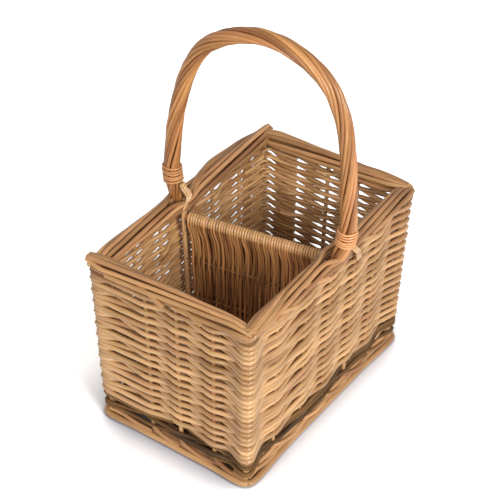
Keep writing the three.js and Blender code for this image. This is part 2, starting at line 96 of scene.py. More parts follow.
def number_setting(name, description, number):
    return FloatProperty(name=name, description=description, default=number)


def count_setting(name, description, count, least=1):
    return IntProperty(name=name, description=description, default=count, min=least)


def colour_setting(name, description, rgb):
    return FloatVectorProperty(
        name=name, description=description, default=colour(*rgb), subtype="COLOR", min=0, max=1
    )


# Settings that a user would change


class BasketBody(PropertyGroup):
    """Size of the body, between the stake lines of opposite walls."""

    floor_length: length_setting("Floor length", "Along the basket, at the ground", 266)
    floor_width: length_setting("Floor width", "Across the basket, at the ground", 167.5)
    rim_length: length_setting("Rim length", "Along the basket, at the rim level", 277.5)
    rim_width: length_setting("Rim width", "Across the basket, at the rim level", 175.5)
    rim_level: length_setting("Rim level", "Height at which the rim sizes hold", 190)
    stake: length_setting("Stake thickness", "Upright rods of the walls", 4.6)
    post: length_setting("Post thickness", "Upright rods in the corners", 7)


class BasketWeave(PropertyGroup):
    """The light weavers and the dark ones below them."""

    weaver: length_setting("Weaver thickness", "Light rods of the walls", 4.95)
    pitch: length_setting("Row pitch", "From one row of weaving to the next", 4.73)
    first: length_setting("First row", "Level of the lowest light row", 33.6)
    rows: count_setting("Rows", "Rows of light weaving", 34)
    dark: length_setting("Dark weaver thickness", "Unpeeled rods at the bottom", 4.6)
    dark_first: length_setting("First dark row", "Level of the lowest dark row", 14.6)
    dark_pitch: length_setting("Dark row pitch", "From one dark row to the next", 5)
    dark_rows: count_setting("Dark rows", "Rows of dark weaving", 4)
    snug: number_setting("Snug", "How close the rods hug a stake, 1 is just touching", 0.88)
    dark_snug: number_setting("Dark snug", "How close the dark rods hug a stake", 0.8)


class BasketFoot(PropertyGroup):
    """The foot rim and the floor."""

    rim_rod: length_setting("Rim rod thickness", "Rods that lie on the ground", 6.6)
    spread: length_setting("Foot spread", "From the stake line to the outer rim rod", 6.2)
    doubling: length_setting("Doubling", "Between the two rim rods", 5.7)
    loop: length_setting("Loop thickness", "Rods from the stakes down to the rim", 4.8)
    filler: length_setting("Filler thickness", "Rods between the rim and the dark weavers", 4.8)
    floor_rod: length_setting("Floor rod thickness", "Rods woven across the floor sticks", 4.6)
    floor_stick: length_setting("Floor stick thickness", "Sticks along the floor", 5.2)


class BasketBorder(PropertyGroup):
    """The rolled border."""

    rod: length_setting("Border rod thickness", "Rods laid side by side over the roll", 4.9)
    step: angle_setting("Step", "From one rod to the next, round the roll", 37)
    width: length_setting("Border width", "Across the roll", 21.5)
    height: length_setting("Border height", "From the weave to the top of the roll", 15)
    lay: length_setting("Lay", "Along the wall, for a rod to reach the next place", 84)


class BasketBow(PropertyGroup):
    """The bow handle, its bindings and ties."""

    top: length_setting("Bow top", "Level of the top of the bow's middle line", 410)
    swell: length_setting("Swell", "How far the legs bulge past the rim's stake line", 16.25)
    lean: length_setting("Lean", "How far the top leans over towards the back wall", -10)
    front_upright: length_setting("Front leg", "How far the front leg is drawn in to stand upright", 3)
    back_upright: length_setting("Back leg", "How far the back leg is drawn in to stand upright", 6)
    offset: length_setting("Offset", "Place of the bow along the basket", -3.5)
    twist: angle_setting("Twist", "The two feet aren't quite opposite each other", 3.8)
    core: length_setting("Core thickness", "Rod in the middle of the bow", 9.2)
    roping: length_setting("Roping thickness", "Rods twisted round the core", 4.1)
    roping_rods: count_setting("Roping rods", "Rods round the core", 11, 3)
    turns: number_setting("Turns", "How often a rod goes round the bow", 2.4)
    cane: length_setting("Cane thickness", "Cane of the bindings and ties", 2.2)
    binding_turns: number_setting("Binding turns", "Turns of cane round each foot", 6)
    binding_level: length_setting("Binding level", "Where the binding starts", 216)


class BasketDivider(PropertyGroup):
    """The woven divider across the basket."""

    top: length_setting("Divider top", "Level of the top rail", 184)
    twist: angle_setting("Divider twist", "The divider crosses the basket on the slant", 10.3)
    offset: length_setting("Divider offset", "Place of the divider's middle along the basket", -2.2)
    slant: length_setting("Slant", "How far a strand leans under the top rail", 2)
    end_gap: length_setting("End gap", "Between an end stake and the strands", 5)
    low_reach: length_setting("Low reach", "From the middle to an end stake, at the floor", 74.5)
    high_reach: length_setting("High reach", "From the middle to an end stake, at the top rail", 80.5)
    stake: length_setting("Divider stake thickness", "Rods at the divider's ends", 5.2)
    top_rail: length_setting("Top rail thickness", "Rod that the strands loop over", 8)
    rail: length_setting("Rail thickness", "Rods that the strands are woven on", 3.6)
    strand: length_setting("Strand thickness", "Upright strands", 2.85)
    strands: count_setting("Strands", "Number of upright strands", 50, 2)
    swing: length_setting("Strand swing", "How far a strand goes to each side of a rail", 1.7)


class BasketFinish(PropertyGroup):
    """Colours of the willow and the cane."""

    buff: colour_setting("Buff willow", "Light weavers", (220, 174, 123))
    buff_deep: colour_setting("Deep buff", "Darker light weavers", (170, 122, 76))
    golden: colour_setting("Golden willow", "Border rods", (208, 156, 106))
    golden_deep: colour_setting("Deep golden", "Darker border rods", (142, 96, 58))
    orange: colour_setting("Orange willow", "Rods of the bow", (208, 147, 92))
    orange_deep: colour_setting("Deep orange", "Darker rods of the bow", (146, 92, 50))
    bark: colour_setting("Bark", "Unpeeled dark rods", (136, 96, 52))
    bark_deep: colour_setting("Deep bark", "Darker unpeeled rods", (40, 29, 17))
    strand: colour_setting("Divider strands", "Upright strands", (208, 148, 94))
    strand_deep: colour_setting("Deep strands", "Darker upright strands", (110, 66, 36))
    cane: colour_setting("Cane", "Bindings and ties", (228, 166, 108))
    cane_deep: colour_setting("Deep cane", "Darker cane", (176, 112, 62))
    pith: colour_setting("Pith", "Cut ends of the rods", (204, 162, 110))


class BasketStage(PropertyGroup):
    """Floor, lamps and camera."""

    floor_half: length_setting("Floor size", "Half the size of the floor", 4000)
    world_light: number_setting("World light", "Light from all round", 0.46)
    key: number_setting("Key lamp", "Power of the main lamp in watts", 22)
    fill: number_setting("Fill lamp", "Power of the fill lamp in watts", 12)
    contact: length_setting("Contact shadow", "How far the soft shadow beside the foot reaches", 75)
    contact_shade: colour_setting("Contact shade", "Floor close to the foot", (108, 110, 120))


SETTINGS = {
    "basket_body": BasketBody,
    "basket_weave": BasketWeave,
    "basket_foot": BasketFoot,
    "basket_border": BasketBorder,
    "basket_bow": BasketBow,
    "basket_divider": BasketDivider,
    "basket_finish": BasketFinish,
    "basket_stage": BasketStage,
}


class Sizes:
    """A settings group read in millimetres. Counts, angles and plain numbers stay as they are."""

    def __init__(self, group):
        for name, prop in group.bl_rna.properties.items():
            value = getattr(group, name)
            if isinstance(value, float) and prop.unit == "LENGTH":
                value /= MM
            setattr(self, name, value)


def sizes(name):
    return Sizes(getattr(bpy.context.scene, "basket_" + name))


# Walls, in order round the basket, and the stakes that stand in them


@dataclass
class Wall:
    name: str
    turn: float
    long: bool

    def frame(self):
        """The wall's direction along, and its direction out."""
        spin = Matrix.Rotation(self.turn, 3, "Z")
        return spin @ Vector((1, 0, 0)), spin @ Vector((0, -1, 0))


WALLS = [
    Wall("front", 0, True),
    Wall("right", math.pi / 2, False),
    Wall("back", math.pi, True),
    Wall("left", math.pi * 1.5, False),
]
FRONT, RIGHT, BACK, LEFT = WALLS

# Places of the stakes from one corner post, -1, to the next, 1
LONG_STAKES = (-0.66, -0.31, 0, 0.32, 0.62)
SHORT_STAKES = (-0.36, 0.06, 0.55)


@dataclass
class Upright:
    wall: Wall
    share: float
    corner: bool


def stake_shares(wall):
    return LONG_STAKES if wall.long else SHORT_STAKES


RING = [
    Upright(wall, share, share == -1) for wall in WALLS for share in (-1, *stake_shares(wall))
]
FRONT_CORNER = 0  # between the left wall and the front
LEFT_CORNER = 16  # between the back wall and the left one


class Body:
    """Places on the walls, in millimetres."""

    def __init__(self):
        self.size = sizes("body")

    def half(self, kind, level):
        """Half the length or the width of the basket at a level."""
        low = getattr(self.size, "floor_" + kind)
        grow = (getattr(self.size, "rim_" + kind) - low) * level / self.size.rim_level
        return (low + grow) / 2

    def depth(self, wall, level):
        return self.half("width" if wall.long else "length", level)

    def reach(self, wall, level):
        return self.half("length" if wall.long else "width", level)

    def at(self, wall, along, out, level):
        """A point along a wall, out from its stake line."""
        way, outward = wall.frame()
        return way * along + outward * (self.depth(wall, level) + out) + UP * level


# Rods


@dataclass
class Rod:
    """One willow rod or cane: its middle line, its radius at each point, and its shade from 0 to 1.

    Above a given level, the rod is painted paler: painted light where the light from above falls on its
    top.
    """

    points: list
    radii: list
    tone: float
    # Level above which the rod is painted paler, as painted light from above
    worn: float = math.inf


def mix(a, b, share):
    return a + (b - a) * share


def smooth(points, spacing):
    """Points on a centripetal Catmull-Rom curve through the given ones, about spacing apart."""
    around = [points[0] * 2 - points[1], *points, points[-1] * 2 - points[-2]]
    result = []
    for a, b, c, d in zip(around, around[1:], around[2:], around[3:]):
        t1 = max((b - a).length, 0.001) ** 0.5
        t2 = t1 + max((c - b).length, 0.001) ** 0.5
        t3 = t2 + max((d - c).length, 0.001) ** 0.5
        steps = max(1, round((c - b).length / spacing))
        for step in range(steps):
            t = mix(t1, t2, step / steps)
            ab = a * ((t1 - t) / t1) + b * (t / t1)
            bc = b * ((t2 - t) / (t2 - t1)) + c * ((t - t1) / (t2 - t1))
            cd = c * ((t3 - t) / (t3 - t2)) + d * ((t - t2) / (t3 - t2))
            abc = ab * ((t2 - t) / t2) + bc * (t / t2)
            bcd = bc * ((t3 - t) / (t3 - t1)) + cd * ((t - t1) / (t3 - t1))
            result.append(abc * ((t2 - t) / (t2 - t1)) + bcd * ((t - t1) / (t2 - t1)))
    result.append(points[-1])
    return result


STRAY_LENGTH = 22  # over this length a rod's line strays to one side
SWELL_LENGTH = 30  # over this length its thickness changes
SWELL = 0.06  # by at most this share

# How each kind of rod grows: the distance between its points, its thickness at its two ends as
# shares, and how far its line strays
GROWTH = {
    "weaver": (5, (1.04, 0.93), 0.3),
    "turned weaver": (5, (0.93, 1.04), 0.3),
    "corner tip": (5, (1, 0.8), 0.3),
    "dark weaver": (5, (1.06, 0.84), 0.5),
    "upright": (14, (1.03, 0.97), 0.15),
    "foot rim": (5, (1, 0.92), 0.2),
    "foot filler": (5, (1, 0.9), 0.7),
    "foot loop": (4, (1, 0.8), 0.3),
    "floor stick": (20, (1, 1), 0.1),
    "floor rod": (9, (1, 0.95), 0.3),
    "rolled": (5, (1.04, 0.84), 0.35),
    "turned rolled": (5, (0.86, 1.02), 0.35),
    "cornered": (4, (1, 0.85), 0.4),
    "loose": (5, (0.8, 1), 0.5),
    "late end": (4, (1, 0.9), 0.2),
    "filling": (12, (1, 1), 0.5),
    "bow core": (8, (1, 1), 0),
    "roping": (4.5, (0.96, 0.92), 0.15),
    "binding": (2.2, (1, 1), 0.08),
    "tie": (3, (1, 1), 0.15),
    "divider frame": (14, (1, 1), 0.2),
    "strand": (4, (1, 0.92), 0.35),
}


def grown(kind, points, thickness, tone, seed):
    """A rod that grew: its line strays a little from the given one, and its thickness varies."""
    spacing, taper, stray = GROWTH[kind]
    line = smooth(points, spacing)
    far = Vector((seed * 7.3, seed * 3.1, 0))  # each seed takes another part of the noise
    bent = []
    radii = []
    for i, point in enumerate(line):
        share = i / (len(line) - 1)
        bent.append(point + noise.noise_vector(point / STRAY_LENGTH + far) * stray)
        swell = 1 + SWELL * noise.noise(point / SWELL_LENGTH - far)
        radii.append(thickness / 2 * mix(taper[0], taper[1], share) * swell)
    return Rod(bent, radii, tone)


def add_node(tree, kind, feeds=None, **settings):
    """Adds a node with these settings. Feeds gives its inputs: values, or outputs of other nodes."""
    node = tree.nodes.new(kind)
    for key, value in settings.items():
        setattr(node, key, value)
    for key, value in (feeds or {}).items():
        if isinstance(value, bpy.types.NodeSocket):
            tree.links.new(value, node.inputs[key])
        else:
            node.inputs[key].default_value = value
    return node


def cleared(owner):
    """Empties the nodes of a material or a world, and gives the function that adds new ones."""
    owner.use_nodes = True
    owner.node_tree.nodes.clear()
    return partial(add_node, owner.node_tree)


def rod_tree():
    """Geometry nodes: a round rod along every path, with places along and round it as attributes."""
    name = "Rods along paths"
    if name in bpy.data.node_groups:
        return bpy.data.node_groups[name]
    tree = bpy.data.node_groups.new(name, "GeometryNodeTree")
    add = partial(add_node, tree)
    for label, kind in (("Paths", "Geometry"), ("Sides", "Int"), ("Finish", "Material")):
        tree.interface.new_socket(label, in_out="INPUT", socket_type="NodeSocket" + kind)
    tree.interface.new_socket("Rods", in_out="OUTPUT", socket_type="NodeSocketGeometry")

    def store(geometry, label, kind, domain, value):
        feeds = {"Geometry": geometry, "Name": label, "Value": value}
        node = add("GeometryNodeStoreNamedAttribute", feeds, data_type=kind, domain=domain)
        return node.outputs["Geometry"]

    start = add("NodeGroupInput")
    curves = add("GeometryNodeMeshToCurve", {"Mesh": start.outputs["Paths"]})
    length = add("GeometryNodeSplineParameter").outputs["Length"]
    path = store(curves.outputs["Curve"], "along", "FLOAT", "POINT", length)

    feeds = {"Radius": 1, "Resolution": start.outputs["Sides"]}
    ring = add("GeometryNodeCurvePrimitiveCircle", feeds)
    place = add("GeometryNodeInputPosition").outputs["Position"]
    section = store(ring.outputs["Curve"], "round", "FLOAT_VECTOR", "POINT", place)

    radius = add("GeometryNodeInputNamedAttribute", {"Name": "radius"}, data_type="FLOAT")
    scale = radius.outputs["Attribute"]
    feeds = {"Curve": path, "Profile Curve": section, "Scale": scale, "Fill Caps": True}
    skin = add("GeometryNodeCurveToMesh", feeds)

    # The two ends of a rod are the only faces with more than four corners
    corners = add("GeometryNodeInputMeshFaceNeighbors").outputs["Vertex Count"]
    more = {"data_type": "INT", "operation": "GREATER_THAN"}
    is_end = add("FunctionNodeCompare", {2: corners, 3: 4}, **more).outputs["Result"]
    ended = store(skin.outputs["Mesh"], "cut", "FLOAT", "FACE", is_end)
    side = add("FunctionNodeBooleanMath", {0: is_end}, operation="NOT").outputs[0]
    soft = add("GeometryNodeSetShadeSmooth", {"Geometry": ended, "Shade Smooth": side}, domain="FACE")

    whole = add("GeometryNodeRealizeInstances", {"Geometry": soft.outputs["Geometry"]})
    feeds = {"Geometry": whole.outputs["Geometry"], "Material": start.outputs["Finish"]}
    finish = add("GeometryNodeSetMaterial", feeds)
    add("NodeGroupOutput", {"Rods": finish.outputs["Geometry"]})
    return tree


def socket_id(tree, name):
    for item in tree.interface.items_tree:
        if item.in_out == "INPUT" and item.name == name:
            return item.identifier
    raise KeyError(name)


def make_piece(name, rods, finish, nodes=(), sides=10):
    """Turns rods into one mesh object that rides on the basket and stands for the CAD nodes."""
    if not rods:
        raise RuntimeError(name + " has no rods")
    mesh = bpy.data.meshes.new(name)
    verts = []
    edges = []
    marks = {"radius": [], "tone": [], "pale": []}
    for rod in rods:
        first = len(verts)
        verts += [point * MM for point in rod.points]
        edges += [(i, i + 1) for i in range(first, len(verts) - 1)]
        marks["radius"] += [radius * MM for radius in rod.radii]
        marks["tone"] += [rod.tone] * len(rod.points)
        # Where a rod's top is painted paler, as painted light from above
        marks["pale"] += [float(point.z > rod.worn) for point in rod.points]
    mesh.from_pydata(verts, edges, [])
    for label, values in marks.items():
        mesh.attributes.new(label, "FLOAT", "POINT").data.foreach_set("value", values)
    piece = bpy.data.objects.new(name, mesh)
    bpy.context.collection.objects.link(piece)

    tree = rod_tree()
    modifier = piece.modifiers.new("Rods", "NODES")
    modifier.node_group = tree
    modifier[socket_id(tree, "Sides")] = sides
    modifier[socket_id(tree, "Finish")] = finish
    graph = bpy.context.evaluated_depsgraph_get()
    result = bpy.data.meshes.new_from_object(piece.evaluated_get(graph), depsgraph=graph)
    piece.modifiers.clear()
    piece.data = result
    bpy.data.meshes.remove(mesh)
    result.name = name
    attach(piece, "root")
    if nodes:
        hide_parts(*nodes)


def nodes_named(*starts):
    return [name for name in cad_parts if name.startswith(starts)]


# Finishes


PAINTED_LIGHT_GAIN = (1.15, 1.4, 1.6)  # how much paler the painted light makes a rod's lit top, in red, green and blue
STREAK_TINT = (0.55, 0.42, 0.3, 1)
STREAKS, SHADES, SPECKS = 22, 14, 120  # how far each pattern goes on along a metre of rod
RELIEF = 0.6 * MM  # how deep the bumps go


def willow(name, pale, deep, roughness=0.42, speck=0.5, streak=1.0, bump=0.25, coat=0.5):
    """Peeled or unpeeled willow: a shade for each rod, streaks along it, specks, and pale cut ends."""
    if name in bpy.data.materials:
        return bpy.data.materials[name]
    material = bpy.data.materials.new(name)
    add = cleared(material)

    def attribute(label, output="Fac"):
        return add("ShaderNodeAttribute", attribute_name=label).outputs[output]

    def blend(kind, share, a, b):
        feeds = {0: share, 6: a, 7: b}
        return add("ShaderNodeMix", feeds, data_type="RGBA", blend_type=kind).outputs[2]

    def times(a, b):
        return add("ShaderNodeMath", {0: a, 1: b}, operation="MULTIPLY").outputs[0]

    def plus(a, b):
        return add("ShaderNodeMath", {0: a, 1: b}, operation="ADD").outputs[0]

    def ramp(value, low, high):
        feeds = {"Value": value, "From Min": low, "From Max": high}
        return add("ShaderNodeMapRange", feeds, interpolation_type="SMOOTHSTEP").outputs["Result"]

    def pattern(*place, scale, detail):
        where = add("ShaderNodeCombineXYZ", dict(enumerate(place))).outputs[0]
        feeds = {"Vector": where, "Scale": scale, "Detail": detail}
        return add("ShaderNodeTexNoise", feeds).outputs["Fac"]

    def varied(seed, low, spread):
        """A number that differs from rod to rod, from low upwards."""
        own = add("ShaderNodeMath", {0: times(tone, seed)}, operation="FRACT").outputs[0]
        return plus(times(own, spread), low)

    tone = attribute("tone")
    along = attribute("along")
    around = add("ShaderNodeSeparateXYZ", {0: attribute("round", "Vector")})
    x, y = around.outputs[0], around.outputs[1]

    # Fine streaks drawn out along the rod, slow changes of shade, and specks. A large multiple of the
    # tone gives each rod its own place in a pattern
    shift = times(tone, 91.7)
    streak_place = (times(x, 1.6), times(y, 1.6), plus(times(along, STREAKS), shift))
    streaks = pattern(*streak_place, scale=2.6, detail=4)
    slow = pattern(times(along, SHADES), times(tone, 57.3), scale=1, detail=2)
    spots = pattern(x, y, plus(times(along, SPECKS), shift), scale=1.3, detail=3)

    # From the rod's shade over its top, painted paler where light from above falls, its streaks and its
    # specks to its own hue
    shade = plus(times(tone, 0.5), times(slow, 0.96))
    wood = blend("MIX", ramp(shade, low=0.4, high=1.15), (*pale, 1), (*deep, 1))
    # Painted light: above a given level the rod's top is painted paler, as if lit from above
    worn = [min(1, channel * rise) for channel, rise in zip(pale, PAINTED_LIGHT_GAIN)]
    wood = blend("MIX", times(attribute("pale"), 0.7), wood, (*worn, 1))
    streaky = times(ramp(streaks, low=0.42, high=0.72), streak * 0.55)
    wood = blend("MULTIPLY", streaky, wood, STREAK_TINT)
    spotted = times(ramp(spots, low=0.66, high=0.74), speck)
    wood = blend("MIX", spotted, wood, (*[channel * 0.35 for channel in deep], 1))
    hue = add("ShaderNodeHueSaturation", {
        "Hue": varied(7.3, low=0.497, spread=0.01),
        "Value": varied(23.1, low=0.88, spread=0.24),
        "Color": wood,
    })
    pith = bpy.context.scene.basket_finish.pith

    relief = add("ShaderNodeBump", {
        "Strength": bump,
        "Distance": RELIEF,
        "Height": plus(streaks, times(spots, 0.4)),
    })
    shader = add("ShaderNodeBsdfPrincipled", {
        "Base Color": blend("MIX", attribute("cut"), hue.outputs[0], (*pith, 1)),
        "Roughness": roughness,
        "Specular IOR Level": 0.35,
        "Coat Weight": coat,
        "Coat Roughness": 0.14,
        "Normal": relief.outputs["Normal"],
    })
    add("ShaderNodeOutputMaterial", {"Surface": shader.outputs[0]})
    return material


# For each finish: the material's name, its colour setting, and what differs from plain willow
FINISHES = {
    "weavers": ("peeled_buff", "buff", {"roughness": 0.34, "coat": 0.9}),
    "bark": (
        "unpeeled_bark", "bark",
        {"roughness": 0.6, "speck": 0.8, "streak": 1.3, "bump": 0.6, "coat": 0},
    ),
    "border": ("peeled_golden", "golden", {}),
    "bow": ("peeled_orange", "orange", {"roughness": 0.38}),
    "divider": ("peeled_strand", "strand", {}),
    "cane": ("split_cane", "cane", {"roughness": 0.36, "speck": 0.1, "streak": 0.6}),
}


def finish_named(name):
    label, hue, looks = FINISHES[name]
    colours = bpy.context.scene.basket_finish
    return willow(label, getattr(colours, hue), getattr(colours, hue + "_deep"), **looks)


# Woven walls


class Row:
    """The middle line of one row of weaving right round the basket."""

    DIP = -1.2  # beside a corner a row is drawn in to this place, out from the stake line
    EASES = {"front": 0.76, "right": 0.9, "back": 0.7}  # on these walls the rods swing out less
    CORNER_SWELL = 1.06  # how much further out a rod goes half way round a post
    # Where a row crosses over, from one upright, 0, to the next, 1
    MIDDLE, AFTER_CORNER, AFTER_KNOB, BEFORE_CORNER = 0.5, 0.56, 0.34, 0.48
    TAIL = 9  # how far a rod goes on beside its first and last stake
    TUCK = 0.8  # how far its end is pushed inwards, in thicknesses
    CHOICE = 3  # its second rod begins at most so many uprights from half way round

    def __init__(self, body, level, thickness, outside, wobble, snug):
        self.body = body
        self.level = level
        self.thickness = thickness
        self.outside = outside
        self.wobble = wobble
        self.snug = snug
        self.left_bulge = 1

    def swing(self, number):
        """How far out from the stake line the row passes an upright."""
        place = number % len(RING)
        upright = RING[place]
        radius = (self.body.size.post if upright.corner else self.body.size.stake) / 2
        side = 1 if self.outside(number) else -1
        snug = self.snug * self.EASES.get(upright.wall.name, 1)
        if upright.corner and (side > 0 or place not in (FRONT_CORNER, LEFT_CORNER)):
            snug = 1
        bulge = self.left_bulge if place == LEFT_CORNER else 1
        return side * (radius + self.thickness / 2) * snug * bulge

    def height(self, number):
        return self.level + self.wobble(number)

    def at_upright(self, number, inward=0, aside=0):
        """Points that lead the row past an upright."""
        upright = RING[number % len(RING)]
        level = self.height(number)
        swing = self.swing(number)
        reach = self.body.reach(upright.wall, level)
        if not upright.corner:
            along = upright.share * reach + aside
            return [self.body.at(upright.wall, along, swing - inward, level)]
        way, outward = upright.wall.frame()
        post = self.body.at(upright.wall, -reach, 0, level)
        slant = (outward - way).normalized()
        if swing < 0:
            return [post + slant * swing]
        middle = post + slant * swing * self.CORNER_SWELL
        return [post - way * swing, middle, post + outward * swing]

    def between(self, number):
        """Points between an upright and the next, where the row crosses over to the other side."""
        here = RING[number % len(RING)]
        after = RING[(number + 1) % len(RING)]
        stop = 1 if after.corner else after.share
        start, end = self.swing(number), self.swing(number + 1)
        turn, dip = self.MIDDLE, (start + end) / 2
        # A row that goes round the outside of a corner is drawn in beside it
        if here is RING[LEFT_CORNER] and self.left_bulge > 1:
            turn, dip = self.AFTER_KNOB, self.DIP
        elif here.corner:
            turn = self.AFTER_CORNER
            if here is RING[FRONT_CORNER] and start > 0:
                dip = self.DIP
        elif after.corner:
            turn = self.BEFORE_CORNER
            dip = self.DIP if end > 0 else dip
        before, beyond = mix(start, dip, 0.5), mix(dip, end, 0.5)
        points = []
        for part, out in ((turn / 2, before), (turn, dip), (mix(turn, 1, 0.5), beyond)):
            level = self.height(number + part)
            along = mix(here.share, stop, part) * self.body.reach(here.wall, level)
            points.append(self.body.at(here.wall, along, out, level))
        return points

    def piece(self, first, last):
        """Points of one rod that is laid in behind one upright and ends behind another."""
        tucked = self.thickness * self.TUCK
        points = self.at_upright(first, 0, -self.TAIL)
        for number in range(first, last):
            points += self.at_upright(number) + self.between(number)
        points += self.at_upright(last, tucked)
        points += self.at_upright(last, tucked * 1.25, self.TAIL)
        return points

    def ends(self, chance):
        """First and last upright of the row's two rods. Each end is behind a stake."""
        hidden = [n for n, upright in enumerate(RING) if not upright.corner and not self.outside(n)]
        half = len(RING) // 2
        first = chance.choice([n for n in hidden if n < half])
        second = chance.choice([n for n in hidden if abs(n - first - half) <= self.CHOICE])
        return (first, second), (second, first + len(RING))


FRONT_CYCLE = 4  # at the front corner the light rows come round again after so many
FRONT_SHIFTS = {1: 0.333, 3: -0.333}  # of these, the rows that share out the room, in row pitches
KNOB_CYCLE = 3  # at the left corner one row in so many stands out as a knob
KNOB, BETWEEN_KNOBS = 1.1, 0.95  # how far those rows and the others go out, as shares
TOP_ROW_TONE = 0.2  # the top row is made of the lighter unpeeled rods


def light_weavers():
    """The light rows, and apart from them the unpeeled row under the border."""
    body = Body()
    weave = sizes("weave")
    chance = random.Random(11)
    rods = []
    top_rods = []
    for number in range(weave.rows):
        level = weave.first + number * weave.pitch
        lift = chance.uniform(-0.15, 0.15)
        turn = number % FRONT_CYCLE

        def outside(place, number=number, turn=turn):
            spot = place % len(RING)
            if spot == FRONT_CORNER:
                return turn != 2
            if spot == FRONT_CORNER + 1:
                return turn != 1
            return spot == LEFT_CORNER or (place + number) % 2 == 1

        def wobble(place, number=number, turn=turn, lift=lift):
            together = noise.noise(Vector((place * 0.9, number * 0.2, 3.7)))
            own = noise.noise(Vector((place * 0.8, number * 5.1, 9.2)))
            shift = FRONT_SHIFTS.get(turn, 0) if place % len(RING) == FRONT_CORNER else 0
            return lift + together * 1.3 + own * 0.4 + weave.pitch * shift

        row = Row(body, level, weave.weaver, outside, wobble, weave.snug)
        row.left_bulge = KNOB if number % KNOB_CYCLE == 1 else BETWEEN_KNOBS
        top = number == weave.rows - 1
        for start, stop in row.ends(chance):
            thickness = weave.weaver * chance.uniform(0.95, 1.05)
            kind = "weaver" if chance.random() < 0.5 else "turned weaver"
            tone = chance.random() * (TOP_ROW_TONE if top else 1)
            rod = grown(kind, row.piece(start, stop), thickness, tone, number + start)
            (top_rods if top else rods).append(rod)
    return rods, top_rods


TIP = ((44, -2.5, 0), (26, -4.5, 0.3), (9, -5.5, 0.8))  # back from the corner, out and up


def corner_tips():
    """Rods whose tips cross inside the corner between the right wall and the back one."""
    body = Body()
    weave = sizes("weave")
    chance = random.Random(17)
    rods = []
    for number in range(1, weave.rows - 1):
        level = weave.first + number * weave.pitch
        ends = [(RIGHT, 1), (BACK, -1)]
        if number % 2:
            ends.reverse()
        (near, near_side), (far, far_side) = ends
        reach = body.reach(near, level)
        past = chance.uniform(8, 16)
        points = [body.at(near, near_side * (reach - back), out, level + up) for back, out, up in TIP]
        points.append(body.at(far, far_side * (body.reach(far, level) - past), -8.5, level + 2.2))
        thickness = weave.weaver * chance.uniform(0.75, 0.9)
        rods.append(grown("corner tip", points, thickness, chance.random(), number + 70))
    return rods


def dark_weavers():
    body = Body()
    weave = sizes("weave")
    chance = random.Random(23)
    rods = []
    for number in range(weave.dark_rows):
        level = weave.dark_first + number * weave.dark_pitch

        def outside(place, number=number):
            return (place + number) % 3 != 0

        def wobble(place, number=number):
            return noise.noise(Vector((place * 0.7, number * 3.3, 1.2))) * 2

        row = Row(body, level, weave.dark, outside, wobble, weave.dark_snug)
        for start, stop in row.ends(chance):
            thickness = weave.dark * chance.uniform(0.92, 1.06)
            line = row.piece(start, stop)
            rods.append(grown("dark weaver", line, thickness, chance.random(), start))
    return rods


POST_SHORTER = 4  # how much lower the corner posts end than the stakes
UPRIGHT_TONE = 0.6  # the uprights are made of the paler rods


def uprights():
    body = Body()
    foot, head = (corner.z for corner in box_mm("front_stake_1"))
    chance = random.Random(5)
    rods = []
    for number, upright in enumerate(RING):
        thickness = body.size.post if upright.corner else body.size.stake
        top = head - POST_SHORTER if upright.corner else head
        points = [
            body.at(upright.wall, upright.share * body.reach(upright.wall, level), 0, level)
            for level in (foot, (foot + top) / 2, top)
        ]
        rods.append(grown("upright", points, thickness, chance.random() * UPRIGHT_TONE, number))
    return rods


# Foot and floor


def foot_rim(body, foot, chance):
    """Two rods side by side on the ground along each wall."""
    rods = []
    level = foot.rim_rod / 2 + 0.3
    for lane, out in enumerate((foot.spread, foot.spread - foot.doubling)):
        outer = 1 - lane
        for number, wall in enumerate(WALLS):
            reach = body.reach(wall, level)
            past = out - 3
            points = [
                body.at(wall, -reach - out + 1.5, out - 5 * outer, level),
                body.at(wall, -reach - past, out, level),
                body.at(wall, -reach / 2, out + chance.uniform(-0.5, 0.5), level),
                body.at(wall, reach / 2, out + chance.uniform(-0.5, 0.5), level),
                body.at(wall, reach + past, out, level),
                body.at(wall, reach + out - 1, out - 4 * outer, level),
            ]
            rods.append(grown("foot rim", points, foot.rim_rod, chance.random(), number + lane * 9))
    return rods


FILLERS = ((1.2, 10.4), (3.6, 8.6))  # out from the stake line, and level
WINDOWED = ((-27, 54), 60, 72)  # the left wall's middle filler, and where the outer two end


def foot_fillers(body, foot, chance):
    """Rods between the foot rim and the dark rows. The left wall has two windows there."""
    rods = []
    for number, wall in enumerate(WALLS):
        reach = body.reach(wall, 10)
        parts = [(-reach, reach)]
        if wall is LEFT:
            middle, before, after = WINDOWED
            parts = [(-reach, -before), middle, (after, reach)]
        for start, stop in parts:
            for out, level in FILLERS:
                points = [body.at(wall, mix(start, stop, share), out, level) for share in (0, 0.5, 1)]
                rods.append(grown("foot filler", points, foot.filler, chance.random(), number + out))
    return rods


def foot_loops(body, foot, chance):
    """A rod from each upright that runs down on the slant to the foot rim."""
    rods = []
    low = foot.rim_rod + foot.loop / 2 - 1.2
    for wall in WALLS:
        reach = body.reach(wall, low)
        places = [-reach, *[share * reach for share in stake_shares(wall)], reach]
        for number, (start, stop) in enumerate(zip(places, places[1:])):
            step = stop - start
            high = 15.5 + chance.uniform(-0.6, 0.6)
            points = [
                body.at(wall, start - 2, -1, high - 1),
                body.at(wall, start + 4.5, 3.6, high - 2),
                body.at(wall, start + step * 0.36, 5.2, mix(high, low, 0.62)),
                body.at(wall, start + step * 0.7, 5.4, low + 0.3),
                body.at(wall, start + step * 1.02, 4.2, low - 1.2),
            ]
            thickness = foot.loop * chance.uniform(0.9, 1.04)
            rods.append(grown("foot loop", points, thickness, chance.random(), number * 3))
    return rods


def foot_rods():
    parts = (Body(), sizes("foot"), random.Random(31))
    return [*foot_rim(*parts), *foot_fillers(*parts), *foot_loops(*parts)]


FLOOR_MARGIN = Vector((9, 9, 0))  # how far the scene's floor goes past the solid one


